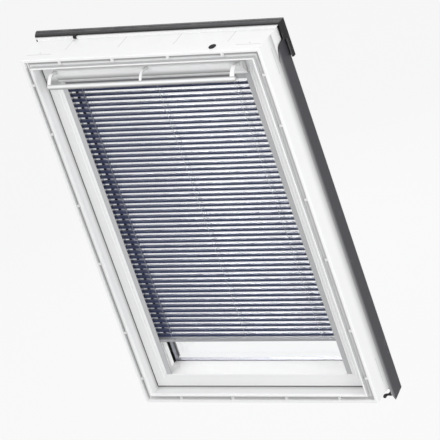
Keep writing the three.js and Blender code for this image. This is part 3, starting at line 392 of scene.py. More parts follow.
# The groove's floor is matt and carries painted shade in its outer corner: the mark reads how far a point lies outside
# the frame's inner line, the largest of |across| - 360, up - 1148 and 30 - up.
groove_floor = moulded("groove_floor", (0.9, 0.902, 0.9), (0.84, 0.845, 0.845), 0.6, 0.0001, 0.0)
tree = groove_floor.node_tree
axes = object_axes(tree)
past_side = maths(tree, "SUBTRACT", maths(tree, "ABSOLUTE", axes["X"]), inner_half / 1000)
past_ends = maths(tree, "MAXIMUM", maths(tree, "SUBTRACT", axes["Z"], inner_top / 1000),
                  maths(tree, "SUBTRACT", inner_low / 1000, axes["Z"]))
corner_dark = ranged(tree, maths(tree, "MAXIMUM", past_side, past_ends), 0.0095, 0.0135,
                     interpolation_type="SMOOTHSTEP")
corner_tone = blend_colours(tree, along_axis(tree, "Z", 1.12, 1.14), (0.62, 0.622, 0.62), (0.42, 0.422, 0.42))
# On the left only the outer half of the floor shows past the lip, and there the painted shade gives way to a light band
# beside its corner.
left_edge = blend_colours(tree, along_axis(tree, "X", -0.3805, -0.377), (0.45, 0.452, 0.45), (0.93, 0.932, 0.93))
corner_tone = blend_colours(tree, along_axis(tree, "X", -0.3742, -0.3738), left_edge, corner_tone)
recolour(groove_floor, corner_dark, high=corner_tone)

# The reveal, the frame's inner wall, carries a painted highlight at the lip and painted shade into the corner by the
# sash.
reveal_skin = moulded("white_reveal", (0.875, 0.876, 0.875), (0.84, 0.842, 0.842))
shade_along(reveal_skin, "Y", -0.041, -0.032, low=(0.97, 0.97, 0.968))
shade_along(reveal_skin, "Y", -0.021, 0.002, high=(0.55, 0.552, 0.553))


def marked(name, lines):
    """The white moulding with fine lines on it: (axis, place, half width) of each line, and (axis, start, end) of
    where it runs. Across the window a line stands on both sides of the middle. A line is a shallow dark groove."""
    made = moulded(name, *white_tones)
    tree = made.node_tree
    axes = object_axes(tree)
    ways = {"X": maths(tree, "ABSOLUTE", axes["X"]), "Y": axes["Y"], "Z": axes["Z"]}
    total = None
    for (axis, place, half), (run_axis, start, end) in lines:
        near = maths(tree, "COMPARE", ways[axis], place, half)
        within = maths(tree, "COMPARE", ways[run_axis], (start + end) / 2, (end - start) / 2)
        line = maths(tree, "MULTIPLY", near, within)
        total = line if total is None else maths(tree, "MAXIMUM", total, line)
    recolour(made, total, high=(0.66, 0.662, 0.66))
    return made


line_half = 0.0013
top_skin = marked("white_moulding_top", [
    (("X", 0.0907, line_half), ("Y", 0.011, 0.067)), (("X", 0.2664, line_half), ("Y", 0.011, 0.067)),
    (("Y", -0.0102, line_half), ("X", 0.302, 0.384)), (("X", 0.343, 2 * line_half), ("Y", -0.005, 0.0002))])
side_skin = marked("white_moulding_side", [
    (("Y", 0.0188, line_half), ("Z", 0.034, 0.116)), (("Y", 0.0188, line_half), ("Z", 1.062, 1.144))])
# The side faces fall into the soft shade of the dark covers that stand on them.
shade_along(side_skin, "Y", 0.003, 0.0726, high=(0.06, 0.06, 0.065))

frame_front = [(0, 0), (-5, 0), (-5, 14), (-21, 14), (-21, 5.6), (-30, 5.6)]
frame_front_round = [2.4, 1.4, 0.7, 0.7, 1.4, 2.4]
frame_front_marks = [6, 1, 2, 0, 6]
frame_seal_slot = [(0, 51), (-6, 51), (-6, 45), (0, 45)]
side_back = [(-30, 84), (-28.5, 84), (-28.5, 128), (0, 128)]
rebate_back = [(-28.5, 128), (-14, 128), (-14, 54), (0, 52)]
top_back = [(-30, 116), (-37.7, 116), (-37.7, 128), *rebate_back[1:]]
bottom_back = [(-30, 84), (-28.5, 84), *rebate_back]
web_section = soften([(-25, 6.6), (-11, 6.6), (-11, 15), (-25, 15)], 0.9)
web_half = 3
across_webs = (-266.4, -90.7, 90.7, 266.4)
upward_webs = (-505.3, -342.1, -100.1, 100.1, 342.1, 505.3)
for side, back, outer_mark, webs in (
        ("top", top_back, 4, across_webs), ("bottom", bottom_back, 0, across_webs),
        ("left", side_back, 3, upward_webs), ("right", side_back, 3, upward_webs)):
    outline = frame_front + back + frame_seal_slot
    rounds = frame_front_round + [0.9] * len(back) + [0.3] * 4
    marks = frame_front_marks + [outer_mark] + [0] * (len(outline) - 7) + [5]
    grids = [along_side(side, soften(outline, rounds))]
    grids += [along_side(side, web_section, at - web_half, at + web_half) for at in webs]
    bands = [edge_marks(marks)] + [np.zeros(len(web_section), int)] * len(webs)
    member = build("frame_member_" + side, grids, [white_skin, groove_wall_painted_shade, groove_floor, side_skin, top_skin,
                                                   reveal_skin, lip_skin], bands)
    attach(member, "frame")
    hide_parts("frame_" + side)

# The glue beads: a thin bead stands white in each inner corner of the frame, where two members meet. It is
# squeezed out as the corner is pressed together. A run is the bead's (depth, radius).
bead_angle = np.linspace(0, 2 * np.pi, 14, endpoint=False)
bead_runs = [(0.4, 0.6), (1.2, 1.5), (2.4, 1.7), (42.0, 1.7), (43.0, 1.2)]
bead_seat = 0.4
corner_beads = build("corner_beads", [
    np.stack([np.stack([x + r * np.cos(bead_angle), np.full(14, t), z + r * np.sin(bead_angle)], 1)
              for t, r in bead_runs])
    for x in (-inner_half + bead_seat, inner_half - bead_seat)
    for z in (inner_low + bead_seat, inner_top - bead_seat)], [lip_skin])
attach(corner_beads, "frame")


# The frame's small rubber parts: a plug in the cable hole in the top, a buffer hooked over the rib under the hood,
# the seal in its slot, and a hooked strip under the frame. All are black rubber, pushed in without screws.
def rubber(name, colour, roughness=0.78, dust=0.08, shine=0.5):
    """Black rubber: a dull skin with a fine grain, greyer where it is dusty or rubbed."""
    made, tree, shader = new_finish(name)
    skin = shade_of(tree, skin_group, Peel_Scale=1500.0, Drift_Scale=30.0)
    handled = shade_of(tree, handling_group, Dust=dust, Scuff_Scale=130.0)
    lighter = tuple(value * 2.2 + 0.012 for value in colour)
    rubbed = blend_colours(tree, spread(tree, handled["Scuff"], 0.0, 0.7), colour, lighter)
    toned = blend_colours(tree, spread(tree, skin["Drift"], 0.0, 0.6), rubbed, lighter)
    shader.inputs["Specular IOR Level"].default_value = shine
    dress(tree, shader, blend_colours(tree, handled["Dust"], toned, (0.2, 0.195, 0.185)),
          spread(tree, skin["Peel"], roughness - 0.08, roughness + 0.08), skin["Height"], 0.5, 0.00015)
    return made


def wear_finish(finish, *nodes):
    """Gives the objects of CAD nodes a finished material in every slot."""
    for held in (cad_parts[node] for node in nodes):
        if not held.data.materials:
            held.data.materials.append(finish)
        for slot in held.material_slots:
            slot.material = finish


def turned(profile, middle, axis, steps=40):
    """A profile of (radius, rise) points turned round an axis through the middle: each point at angle a lies at
    radius (cos a, sin a) across the axis and at its rise along it."""
    angle = np.linspace(0, 2 * np.pi, steps, endpoint=False)
    radius, rise = np.asarray(profile, float).T
    across = np.stack([np.cos(angle)[:, None] * radius, np.sin(angle)[:, None] * radius,
                       np.broadcast_to(rise, (steps, len(radius)))], -1)
    order = [2, 0, 1] if axis == "x" else [0, 1, 2]
    return across[:, :, order] + middle


def across_window(section, stops):
    """Runs an (up, deep) section across the window, with one row at each stop. A stop is (across, scale about the
    section's middle)."""
    up, deep = np.asarray(section, float).T
    middle = np.array([up.mean(), deep.mean()])
    rows = [np.stack([np.full_like(up, across), middle[1] + (deep - middle[1]) * scale,
                      middle[0] + (up - middle[0]) * scale], 1) for across, scale in stops]
    return np.stack(rows)


black_rubber = rubber("black_rubber", (0.012, 0.012, 0.0135), dust=0.03, shine=0.25)
plug_profile = [(0, -5.2), (4.6, -5.2), (5.2, -4.4), (5.2, 0.1), (9.6, 0.1), (10.2, 0.5), (10.2, 1.1), (9.6, 1.7),
                (7.4, 2.0), (6.6, 1.5), (4.6, 1.4), (3.8, 2.2), (1.6, 2.5), (0, 2.5)]
plug_oval, plug_place = (1.04, 1.2, 1), (229.5, 31, 1178)
plug_shell = turned(plug_profile, (0, 0, 0), "z") * plug_oval + plug_place
cable_plug = build("cable_plug_cap", [plug_shell], [black_rubber], ring=True)
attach(cable_plug, "frame")
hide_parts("cable_plug")
seal_section = soften([(1.2, 84.3), (1.2, 108.7), (-1.2, 108.7), (-1.2, 103.6), (-14, 103.2), (-14, 100.8),
                       (-1.2, 101.2), (-1.2, 84.3)], 0.4, 2)
claw_back = [(-1.2, 104), (-1.2, 106.4), (-34, 104), (-37.6, 101.5)]
claw_under = [(-35.3, 93.4), (-29.3, 83.2), (-22, 73.9), (-17.4, 66), (-16.2, 60), (-17.4, 54.6), (-13.5, 49.2)]
claw_over = [(-8.4, 47), (-5.1, 51.6), (-5.9, 58.8), (-11.2, 69.5), (-17.6, 78.9), (-19.6, 87), (-18.6, 94.5)]
claw_section = soften(claw_back + claw_under + claw_over, 1.2, 3)
seal_half, claw_wide = 387.8, 3.6
claw_stops = ((seal_half - claw_wide, 0.97), (seal_half - claw_wide + 0.4, 1), (seal_half - 0.4, 1), (seal_half, 0.97))
claw_ends = [across_window(claw_section, [(sign * at, scale) for at, scale in claw_stops]) for sign in (-1, 1)]
apron_claw = build("apron_seal_strip", [across_window(seal_section, [(-seal_half, 1), (seal_half, 1)]), *claw_ends],
                   [black_rubber])
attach(apron_claw, "frame")
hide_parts("apron_seal")
wear_finish(black_rubber, "hood_buffer", "frame_seal")

# The side covers, the hood over the top edge and the sill apron: thin sheet, folded, painted dark grey with a satin
# coat, and hooked over the frame. The side covers' rolled front edges carry a painted highlight, pale towards the
# frame.
coat_group, entry, leave = new_group("satin_coat", {"Fleck Scale": 1400.0, "Cloud Scale": 5.0},
                                     ("Height", "Fleck", "Cloud"))
fleck = texture(coat_group, "Noise", {"Detail": 2.0})
runs = texture(coat_group, "Noise", {"Scale": 70.0, "Detail": 2.0, "Roughness": 0.4})
cloud = texture(coat_group, "Noise", {"Detail": 4.0, "Roughness": 0.6})
wire(coat_group, (entry["Fleck Scale"], fleck.inputs["Scale"]), (entry["Cloud Scale"], cloud.inputs["Scale"]),
     (maths(coat_group, "MULTIPLY_ADD", fleck.outputs["Fac"], 0.3, runs.outputs["Fac"]), leave["Height"]),
     (ranged(coat_group, fleck.outputs["Fac"], 0.35, 0.65), leave["Fleck"]), (cloud.outputs["Fac"], leave["Cloud"]))


def painted(name, colour, fleck_colour, roughness=0.5, metallic=0.15, dust=0.3):
    """Painted sheet: a satin coat with a fine fleck, slow clouding, pale scuffs and dust on the faces turned up."""
    made, tree, shader = new_finish(name)
    coat = shade_of(tree, coat_group)
    handled = shade_of(tree, handling_group, Dust=dust, Scuff_Scale=34.0)
    flecked = blend_colours(tree, spread(tree, coat["Fleck"], 0.0, 0.5), colour, fleck_colour)
    clouded = blend_colours(tree, spread(tree, coat["Cloud"], 0.0, 0.5), flecked, fleck_colour)
    scuffed = blend_colours(tree, spread(tree, handled["Scuff"], 0.0, 0.16), clouded, (0.35, 0.35, 0.36))
    shader.inputs["Metallic"].default_value = metallic
    dress(tree, shader, blend_colours(tree, handled["Dust"], scuffed, (0.3, 0.295, 0.285)),
          spread(tree, coat["Cloud"], roughness - 0.07, roughness + 0.09), coat["Height"], 0.4, 0.00008)
    return made


def shade_facing(finish, way, colour):
    """Gives a finish another colour on the faces that look a way."""
    recolour(finish, towards(finish.node_tree, way, 0.6, 0.9), high=colour)


to_room, to_left_end, to_right_end = (0, -1, 0), (-1, 0, 0), (1, 0, 0)
dark_tones = (0.04, 0.04, 0.047), (0.056, 0.056, 0.064)
dark_sheet = painted("dark_cover", *dark_tones)
rolled_sheet = painted("dark_cover_rolled", (0.046, 0.046, 0.053), (0.061, 0.061, 0.068))
# Painted highlight: each side cover is painted pale grey at its front edge, darkening towards the back.
shade_along(rolled_sheet, "Y", 0.031, 0.055, low=(0.42, 0.42, 0.425))

cover_line = [(-28.8, 84.0), (-30.6, 84.0), (-31.9, 87.5), (-32.6, 93.0), (-33.0, 101.0), (-33.0, 142.6),
              (-32.4, 143.0), (1.4, 143.0), (1.5, 142.8), (1.5, 118.0), (0.3, 118.0), (0.3, 141.8), (-31.8, 141.8),
              (-31.8, 101.0), (-31.5, 94.0), (-30.8, 88.5), (-30.2, 85.2), (-28.8, 85.2)]
cover_line = soften(cover_line, 0.7, 3)
cover_top, cover_drop, roll_middle, roll_reach, back_sheet = 1140, 62, 118, 34, 141.9


def side_cover(side_sign):
    """A side cover as rows up the roof. At the top each point is pulled down an ellipse that rounds the front edge
    off: cover_drop (1 - sqrt(1 - u^2)), u = the share of roll_reach that the point lies in front of roll_middle.
    At the bottom a line from the back's end to the lower front end trims the rows. Past the opening's two ends the
    inner leg is folded into the back."""
    inset, deep = cover_line.T
    forward = np.clip((roll_middle - deep) / roll_reach, 0, 1)
    top = cover_top - cover_drop * (1 - np.sqrt(1 - forward ** 2))
    bottom = np.interp(deep, [84, 94, 143], [-24, -50, -39])
    inner = inset > -0.5
    heights = np.array([0, 0.004, 0.0615, 0.0618, 0.2, 0.4, 0.6, 0.8, 0.93, 0.96, 0.99, 1.0])
    rows = bottom + heights[:, None] * (top - bottom)
    folded = inner & ((rows < inner_low + 0.6) | (rows > inner_top - 1))
    leg_inset = np.where(folded, -0.6, inset)
    leg_deep = np.where(folded, np.maximum(deep, back_sheet), deep)
    return np.stack([side_sign * (inner_half - leg_inset), leg_deep, rows], -1)


for side, sign in (("left", -1), ("right", 1)):
    cover = build("side_cover_" + side, [side_cover(sign)], [rolled_sheet])
    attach(cover, "frame")
    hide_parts("side_cladding_" + side)

# Painted shade makes the hood's two ends its darkest part and darkens its top towards the front edge, and a painted
# highlight lightens the low parts of its faces that look to the room. The sash covers carry a pale grey gasket on
# the side to the glass.
hood_sheet = painted("dark_hood", (0.024, 0.024, 0.029), (0.034, 0.034, 0.04))
shade_along(hood_sheet, "Y", 0.081, 0.089, low=(0.007, 0.007, 0.008))
for way in (to_right_end, to_left_end):
    shade_facing(hood_sheet, way, (0.008, 0.008, 0.009))
tree = hood_sheet.node_tree
hood_front = blend_colours(tree, along_axis(tree, "Z", 1.15, 1.17), (0.13, 0.13, 0.135), (0.009, 0.009, 0.011))
shade_facing(hood_sheet, to_room, hood_front)
sash_sheet = painted("dark_sash_cover", *dark_tones)
shade_facing(sash_sheet, to_room, (0.7, 0.7, 0.72))
wear_finish(hood_sheet, "top_hood")
wear_finish(dark_sheet, "bottom_sill")
wear_finish(sash_sheet, "sash_cover_top", "sash_cover_bottom", "sash_cover_left", "sash_cover_right")

# The sash: four white moulded members like the frame's, mitred. The stiles carry two fine ridges beside the blind's
# channel, and a black gasket with a grey bead behind it seals the glass against their inner faces.
ridges = [(29, 43), (31, 41.4), (32.6, 41.4), (34.6, 43), (39.5, 43), (41.5, 41.4), (43.1, 41.4), (45.1, 43)]
stile_front = [*ridges, (48.5, 43), (48.5, 70), (55, 70), (55, 86), (55, 99), (55, 100)]
top_front = [(60, 43), (60, 70), (55, 70), (55, 86), (55, 99), (55, 100)]
bottom_front = [(44.7, 43), (54.5, 97.3), (55, 100)]
sash_back = [(40, 100), (40, 125.8), (9, 125.8), (3, 111.8), (3, 43)]
sash_back_round = [0.6, 1.2, 3, 3, 1.6]
gasket_black = rubber("gasket_rubber", (0.002, 0.002, 0.002), 0.6, 0.0, 0.06)
gasket_grey = rubber("gasket_bead", (0.02, 0.02, 0.022), 0.6, 0.0)
white_sash = moulded("white_sash_moulding", (0.95, 0.951, 0.95), (0.91, 0.912, 0.912))
# The sash's colour lightens from left to right, so the stile on the right is a little lighter than the one on the left.
shade_along(white_sash, "X", -0.2, 0.32, high=(0.985, 0.986, 0.985))
# At the top the left stile lies in the shade of the flap and the bar's arm.
tree, sash_tone = white_sash.node_tree, tone_of(white_sash)
flap_shade = blend_colours(tree, along_axis(tree, "Z", 1.082, 1.102), (0.42, 0.422, 0.424), sash_tone)
flap_shade = blend_colours(tree, along_axis(tree, "X", -0.312, -0.308), flap_shade, sash_tone)
shade_along(white_sash, "Z", 1.06, 1.074, high=flap_shade)

# The sill's inner face is reeded: fine lines run along it, one every 7 mm of its depth.
reeded = moulded("white_reeded_sill", (0.88, 0.88, 0.878), (0.86, 0.861, 0.86))
tree = reeded.node_tree
lines = texture(tree, "Wave", {"Scale": 45.0, "Distortion": 0.0}, wave_type="BANDS", bands_direction="Y",
                wave_profile="SIN")
bump(tree, tree.nodes["Principled BSDF"], lines.outputs["Fac"], 0.4, 0.0003)

sash_finishes = [white_sash, gasket_black, gasket_grey, reeded]
stile_round, stile_marks = [0.4] * 8 + [1, 0.8, 0.6, 0.2, 0.2, 0.4], [0] * 11 + [1, 2, 0]
for side, front, front_round, front_marks in (
        ("left", stile_front, stile_round, stile_marks), ("right", stile_front, stile_round, stile_marks),
        ("top", top_front, [1.4, 0.8, 0.6, 0.2, 0.2, 0.4], [0, 0, 0, 1, 2, 0]),
        ("bottom", bottom_front, [1.6, 0.2, 0.2], [3, 2, 0])):
    grids = [along_side(side, soften(front + sash_back, front_round + sash_back_round))]
    bands = [edge_marks(front_marks + [0] * 5)]
    if side == "top":
        # An ear at each end of the top member closes the corner beside the stile.
        ear = soften([(48.8, 43), (60, 43), (60, 69.7), (48.8, 69.7)], 0.8)
        grids += [along_side(side, ear, *ends) for ends in ((-311.2, -296), (296, 311.2))]
        bands += [np.zeros(len(ear), int)] * 2
    member = build("sash_member_" + side, grids, sash_finishes, bands)
    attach(member, "sash")
    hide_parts("sash_" + side)

# Double glazing: two clear float panes, with a bright aluminium spacer with a row of vent holes between them,
# bedded in the sash on butyl tape.
glass, tree, shader = new_finish("clear_float_glass")
shader.inputs["Transmission Weight"].default_value = 1.0
shader.inputs["IOR"].default_value = 1.45
film = shade_of(tree, skin_group, Peel_Scale=3.0, Drift_Scale=4.0)
dress(tree, shader, blend_colours(tree, film["Drift"], (0.993, 0.998, 1.0), (0.99, 0.996, 1.0)),
      spread(tree, film["Peel"], 0.0, 0.02))
for node in ("inner_pane", "outer_pane"):
    wear_finish(glass, node)
    # Clear glass lets the studio's light through to the sill, so it throws no shadow.
    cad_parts[node].visible_shadow = False

spacer_metal = painted("spacer_metal", (0.4, 0.4, 0.45), (0.36, 0.36, 0.4), 0.4, 0.5, 0.0)
tree = spacer_metal.node_tree
holes = texture(tree, "Voronoi", {"Scale": 250.0, "Randomness": 0.0}, feature="F1")
recolour(spacer_metal, ranged(tree, holes.outputs["Distance"], 0.16, 0.2), low=(0.03, 0.03, 0.032))
wear_finish(spacer_metal, "glass_spacer")
wear_finish(rubber("butyl_tape", (0.25, 0.25, 0.28), 0.6, 0.0), "glazing_tape")

# The pivots and the lock: pressed and zinc plated steel. A plate with a pin is sunk in each frame member and a
# socket plate in each stile, both held by countersunk screws; the lock case sits in the sash's top member.
plate_group, entry, leave = new_group("zinc_plate", {"Brush": (30.0, 30.0, 900.0)}, ("Height", "Bloom"))
stretched = add_node(plate_group, "VectorMath", operation="MULTIPLY")
streaks = add_node(plate_group, "TexNoise", {"Scale": 1.0, "Detail": 3.0})
bloom = texture(plate_group, "Voronoi", {"Scale": 160.0}, feature="SMOOTH_F1")
wire(plate_group, (add_node(plate_group, "TexCoord").outputs["Object"], stretched.inputs[0]),
     (entry["Brush"], stretched.inputs[1]), (stretched.outputs[0], streaks.inputs["Vector"]),
     (streaks.outputs["Fac"], leave["Height"]), (bloom.outputs["Distance"], leave["Bloom"]))

zinc_colour, zinc_tarnish = (0.62, 0.63, 0.65), (0.45, 0.455, 0.46)
zinc_steel, tree, shader = new_finish("zinc_steel")
shader.inputs["Metallic"].default_value = 1.0
plate = shade_of(tree, plate_group)
handled = shade_of(tree, handling_group, Dust=0.15, Scuff_Scale=90.0)
bloomed = blend_colours(tree, plate["Bloom"], zinc_colour, zinc_tarnish)
dress(tree, shader, blend_colours(tree, handled["Scuff"], bloomed, zinc_tarnish),
      spread(tree, plate["Bloom"], 0.26, 0.5), plate["Height"], 0.3, 0.00006)
wear_finish(zinc_steel, "pivot_plate_left", "pivot_plate_right", "pivot_socket_left", "pivot_socket_right",
            "lock_case", "lock_bolt", "striker_plate", "headrail_bracket_left", "headrail_bracket_right")

screw_profile = [(0.0, -0.5), (0.9, -0.5), (1.1, 0.05), (2.6, 0.12), (3.3, 0.0), (3.4, -0.5), (3.4, -1.0), (0.0, -1.0)]
pivot_deep, screw_places = 70, ((9, 48), (-9, 36), (9, -36), (-9, -48))
for side, sign in (("left", -1), ("right", 1)):
    heads = [turned([(radius, sign * -rise) for radius, rise in screw_profile],
                    (sign * inner_half, pivot_deep + across, middle_up + up), "x", 20) for across, up in screw_places]
    screws = build("pivot_screws_" + side, heads, [zinc_steel], ring=True)
    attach(screws, "frame")

# The control bar and the flap: white moulded bar on three flat arms that grow out of the ventilation flap. The flap's
# bead turns in the hinge rail on the sash's face, and a dark grey foam filter lies behind it.
hinge_up, hinge_deep = 1090.0, 37.4
# The arms' white is painted a little lighter than the frame's: a painted highlight for their lit faces.
white_bar = moulded("white_bar_moulding", (0.99, 0.99, 0.988), (0.97, 0.972, 0.971), 0.36)
# An arm's side to the right lies in the shade of its own strap, and its back end in the shade of the frame's lip.
shade_facing(white_bar, to_right_end, (0.6, 0.602, 0.6))
shade_along(white_bar, "Y", -0.044, -0.034, high=(0.62, 0.622, 0.62))
# The bar's own underside is in shade, and so is its back, towards the flap.
white_grip = moulded("white_grip_moulding", (0.98, 0.98, 0.978), (0.95, 0.952, 0.951), 0.36)
shade_along(white_grip, "Z", 1.1005, 1.1096, low=(0.33, 0.332, 0.334))
shade_along(white_grip, "Y", -0.0765, -0.0705, high=(0.5, 0.502, 0.504))
# The hinge rail is the white moulding painted grey: painted shade, for the shade it lies in under the flap and the bar.
wear_finish(moulded("white_rail_painted_shade", (0.64, 0.642, 0.642), (0.6, 0.602, 0.603)), "flap_hinge_rail")
# Towards its hinge the leaf carries painted shade, for the bar's shade. The bead at its edge is painted in a lighter
# shade, and past the right arm, where the window's light reaches in, the painted shade ends.
white_leaf = moulded("white_leaf_moulding", (0.97, 0.97, 0.968), (0.93, 0.932, 0.931), 0.36)
shade_along(white_leaf, "Z", 1.09, 1.116, low=(0.33, 0.332, 0.334))
shade_along(white_leaf, "Z", 1.0918, 1.0934, low=(0.72, 0.722, 0.72))
shade_along(white_leaf, "X", 0.262, 0.272, high=(0.86, 0.862, 0.86))


def normals_of(line):
    """The unit normals of a line of (up, deep) points: its own direction turned a quarter round."""
    run = np.gradient(line, axis=0)
    run /= np.linalg.norm(run, axis=1)[:, None]
    return np.stack([-run[:, 1], run[:, 0]], 1)


leaf_wall, leaf_share = 2.2, np.linspace(0, 1, 15)[:-1]
leaf_line = np.stack([5 + 24 * leaf_share, -1 - 11 * np.sin(leaf_share * np.pi / 2)], 1)
round_turn = np.linspace(0, np.pi / 2, 12)
round_line = np.stack([29 + 9 * np.sin(round_turn), -3 - 9 * np.cos(round_turn)], 1)
flap_line = np.concatenate([[(0, 0)], leaf_line, round_line, [(38.6, 0), (39.1, 2.8)]]) + (hinge_up, hinge_deep)
# The leaf is an even wall about that line: half the wall to each side, the second side walked back.
flap_wall = normals_of(flap_line) * leaf_wall / 2
flap_section = np.concatenate([flap_line + flap_wall, (flap_line - flap_wall)[::-1]])
flap_end_section = np.concatenate([[(0, 1.1)], leaf_line, round_line, [(39, 3)]]) + (hinge_up, hinge_deep)
bead_turn = np.linspace(0, 2 * np.pi, 28, endpoint=False)
bead_section = np.stack([hinge_up + 3 * np.cos(bead_turn), hinge_deep + 3 * np.sin(bead_turn)], 1)
flap_half = 309.6
flap = build("ventilation_flap", [
    across_window(section, [(start, 1), (end, 1)]) for section, start, end in (
        (flap_section, -flap_half, flap_half), (bead_section, -flap_half, flap_half),
        (flap_end_section, -flap_half, -flap_half + leaf_wall),
        (flap_end_section, flap_half - leaf_wall, flap_half))], [white_leaf])
bar_turn = np.linspace(0, 2 * np.pi, 40, endpoint=False)
bar_half, bar_tall, bar_thick, bar_round = 306, 7.75, 7, 2.2
bar_section = np.stack([hinge_up + 15 + bar_tall * np.cos(bar_turn),
                        hinge_deep - 62.5 + bar_thick * np.sin(bar_turn)], 1)
end_stops = [(bar_half - bar_round + bar_round * np.sin(t), (bar_thick - bar_round + bar_round * np.cos(t)) / bar_thick)
             for t in np.linspace(0, np.pi / 2, 6)]
bar = build("control_bar_moulding", [across_window(bar_section, [(-x, k) for x, k in end_stops[::-1]] + end_stops)],
            [white_grip])


def strap_arm(middle, width):
    """An arm as a flat strap: a rounded oblong carried along the curve up = 17 + 17.75 sin t + 7.67 sin 2t,
    deep = -62.5 + 55 (1 - cos t + s) / 2 with t = s pi / 2, measured from the hinge. Its underside flares towards
    the flap: wall = 4 + 6 s^2."""
    s = np.linspace(0.055, 0.985, 22)
    t = s * np.pi / 2
    line = np.stack([17 + 17.75 * np.sin(t) + 7.67 * np.sin(2 * t), -62.5 + 55 * (1 - np.cos(t) + s) / 2], 1)
    normal = -normals_of(line)
    wall = 4.0 + 6.0 * s ** 2
    side, lift = soften([(-width / 2, -0.5), (width / 2, -0.5), (width / 2, 0.5), (-width / 2, 0.5)], 0.9).T
    centre = line + (hinge_up, hinge_deep) - normal * ((wall - 4.0) / 2)[:, None]
    up = centre[:, :1] + normal[:, :1] * lift * wall[:, None]
    deep = centre[:, 1:] + normal[:, 1:] * lift * wall[:, None]
    return np.stack([np.broadcast_to(middle + side, up.shape), deep, up], -1)


for name, at, width in (("left", -302, 11), ("centre", 0, 8), ("right", 296, 14)):
    arm = build("strap_arm_" + name, [strap_arm(at, width)], [white_bar])
    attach(arm, "control_bar")
    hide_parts("bar_arm_" + name)
for piece, node in ((flap, "vent_flap"), (bar, "control_bar")):
    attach(piece, "control_bar")
    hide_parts(node)

foam, tree, shader = new_finish("filter_foam")
cells = texture(tree, "Voronoi", {"Scale": 700.0}, feature="DISTANCE_TO_EDGE")
cell_mask = ranged(tree, cells.outputs["Distance"], 0.02, 0.25)
dress(tree, shader, blend_colours(tree, cell_mask, (0.2, 0.2, 0.205), (0.06, 0.06, 0.062)),
      spread(tree, cell_mask, 0.85, 1.0), cells.outputs["Distance"], 0.8, 0.0008)
wear_finish(foam, "vent_filter")

# The blind: 50 crowned aluminium slats in dark blue enamel, carried by three ladders of braided cord, under a rolled
# headrail and over a weighted bottom rail, and guided at their ends by a grey channel in each stile.
enamel, tree, shader = new_finish("blue_slat_enamel")
coat = shade_of(tree, coat_group, Fleck_Scale=2400.0, Cloud_Scale=14.0)
handled = shade_of(tree, handling_group, Dust=0.02, Scuff_Scale=40.0)
blue = blend_colours(tree, coat["Cloud"], (0.038, 0.047, 0.104), (0.045, 0.055, 0.12))
scuffed = blend_colours(tree, spread(tree, handled["Scuff"], 0.0, 0.05), blue, (0.2, 0.21, 0.26))
shader.inputs["Coat Weight"].default_value = 0.15
shader.inputs["Coat Roughness"].default_value = 0.25
shader.inputs["Specular Tint"].default_value = (0.7, 0.79, 1.0, 1)
dress(tree, shader, blend_colours(tree, handled["Dust"], scuffed, (0.35, 0.35, 0.36)),
      spread(tree, coat["Cloud"], 0.33, 0.38), coat["Height"], 0.02, 0.000002)

slat_half, slat_front, slat_wide, slat_thick, slat_crown, slat_round = 309.0, 47.0, 20.0, 0.45, 1.7, 4.5
top_slat, slat_pitch, slat_count = 1046.6, 17.16, 50
rail_top, curtain_top = 194.26, 1064.0


def slat_grid(height):
    """One slat. Across its width, share v from 0 to 1, it rises 1.7 (1 - (2v - 1)^2). Near each end its width is
    cut back by r - sqrt(r^2 - (r - d)^2), d the distance from the end, so its corners are round."""
    near = np.array([0.0, 0.35, 1.2, 2.6, slat_round])
    across = np.concatenate([-slat_half + near, slat_half - near[::-1]])
    gap = np.minimum(slat_half - np.abs(across), slat_round)
    cutback = slat_round - np.sqrt(np.maximum(slat_round ** 2 - (slat_round - gap) ** 2, 0))
    v = np.linspace(0, 1, 8)
    crown = slat_crown * (1 - (2 * v - 1) ** 2)
    v_round, rise = np.concatenate([v, v[::-1]]), np.concatenate([crown, crown[::-1] - slat_thick])
    deep = slat_front + slat_wide / 2 + (slat_wide / 2 - cutback)[:, None] * (2 * v_round - 1)
    return np.stack([np.broadcast_to(across[:, None], deep.shape), deep,
                     np.broadcast_to(height + rise, deep.shape)], -1)


slats = build("blind_slats", [slat_grid(top_slat - k * slat_pitch) for k in range(slat_count)], [enamel])

cord_cloth, tree, shader = new_finish("braided_cord")
braid = texture(tree, "Wave", {"Scale": 420.0, "Distortion": 1.5}, wave_type="BANDS",
                bands_direction="DIAGONAL").outputs["Fac"]
dress(tree, shader, blend_colours(tree, braid, (0.34, 0.36, 0.42), (0.5, 0.52, 0.58)),
      spread(tree, braid, 0.7, 0.9), braid, 0.5, 0.0002)


def straight_cord(start, end, radius, sides=6):
    """A cord between two points as a ring about each: the point plus r (cos a, sin a) along two directions that are
    square to the cord and to each other."""
    start, end = np.asarray(start, float), np.asarray(end, float)
    line = (end - start) / np.linalg.norm(end - start)
    first = np.cross(line, (1.0, 0, 0) if abs(line[0]) < 0.9 else (0, 0, 1.0))
    first /= np.linalg.norm(first)
    second = np.cross(line, first)
    turn = np.linspace(0, 2 * np.pi, sides, endpoint=False)[:, None]
    ring = radius * (np.cos(turn) * first + np.sin(turn) * second)
    return np.stack([start + ring, end + ring])


ladder_places, cord_radius, rung_radius = (-250.3, 0.0, 250.3), 0.4, 0.35
front_cord, back_cord = slat_front - cord_radius, slat_front + slat_wide + cord_radius
cords = []
for at in ladder_places:
    for x, deep in ((at, front_cord), (at, back_cord), (at + 3, slat_front + slat_wide / 2)):
        cords.append(straight_cord((x, deep, rail_top), (x, deep, curtain_top), cord_radius))
    for k in range(slat_count):
        low = top_slat - k * slat_pitch - 0.75
        cords.append(straight_cord((at - 0.8, front_cord, low), (at - 0.8, back_cord, low), rung_radius, 4))
ladders = build("blind_ladders", cords, [cord_cloth])
for piece in (slats, ladders):
    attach(piece, "sash")
    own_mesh(piece)
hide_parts("slat_curtain")
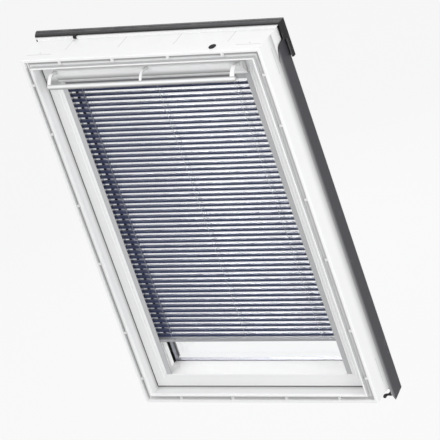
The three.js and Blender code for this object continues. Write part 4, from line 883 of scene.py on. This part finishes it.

# The channels and the headrail: rolled aluminium with a grey coat. A channel is pressed into each stile. Its colour
# carries painted light and shade: it lightens inwards, up to the slot that the slats' ends run in, which is painted
# as a dark line of shade. The headrail hangs on two brackets.
channel_coat = painted("channel_coat", (0.25, 0.252, 0.26), (0.28, 0.283, 0.29), 0.42, 0.1, 0.0)
for start, end, colour in ((0.0006, 0.0146, (0.55, 0.552, 0.56)), (0.0151, 0.0157, (0.02, 0.02, 0.024)),
                           (0.018, 0.0188, (0.9, 0.902, 0.9))):
    shade_along(channel_coat, "Y", start, end, high=colour)
shade_facing(channel_coat, to_room, (0.56, 0.562, 0.57))
wear_finish(channel_coat, "side_channel_left", "side_channel_right")
headrail_coat = painted("headrail_coat", (0.2, 0.203, 0.215), (0.25, 0.253, 0.265), 0.42, 0.2, 0.15)
# A painted highlight lightens the headrail towards its right end.
shade_along(headrail_coat, "X", 0.258, 0.272, high=(0.5, 0.503, 0.51))
wear_finish(headrail_coat, "headrail", "headrail_cap_left", "headrail_cap_right")

# The bottom rail: a flat aluminium tube with a grey coat, whose weight keeps the ladders straight. A moulded cap
# is pressed into each end.
rail_low, rail_back = rail_top - 7.4, slat_front + slat_wide
rail_corners = [(rail_top, slat_front), (rail_top, rail_back), (rail_low, rail_back), (rail_low, slat_front)]
rail_section = soften(rail_corners, 2.0)
grey_coat = painted("grey_rail_coat", (0.36, 0.365, 0.38), (0.42, 0.425, 0.44), 0.42, 0.2, 0.15)
bottom_rail = build("bottom_rail_tube", [across_window(rail_section, [(-305.7, 1), (305.7, 1)])], [grey_coat])
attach(bottom_rail, "bottom_rail")
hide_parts("bottom_rail")
cap_coat = moulded("grey_rail_cap", (0.33, 0.335, 0.345), (0.29, 0.295, 0.305), 0.5)
cap_stops = [(306.0, 0.97), (306.3, 1.0), (308.2, 1.0), (308.8, 0.96), (309.0, 0.9)]
for side, sign in (("left", -1), ("right", 1)):
    cap = build("bottom_rail_end_" + side, [across_window(rail_section, [(sign * at, k) for at, k in cap_stops])],
                [cap_coat])
    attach(cap, "bottom_rail")
    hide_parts("bottom_rail_cap_" + side)
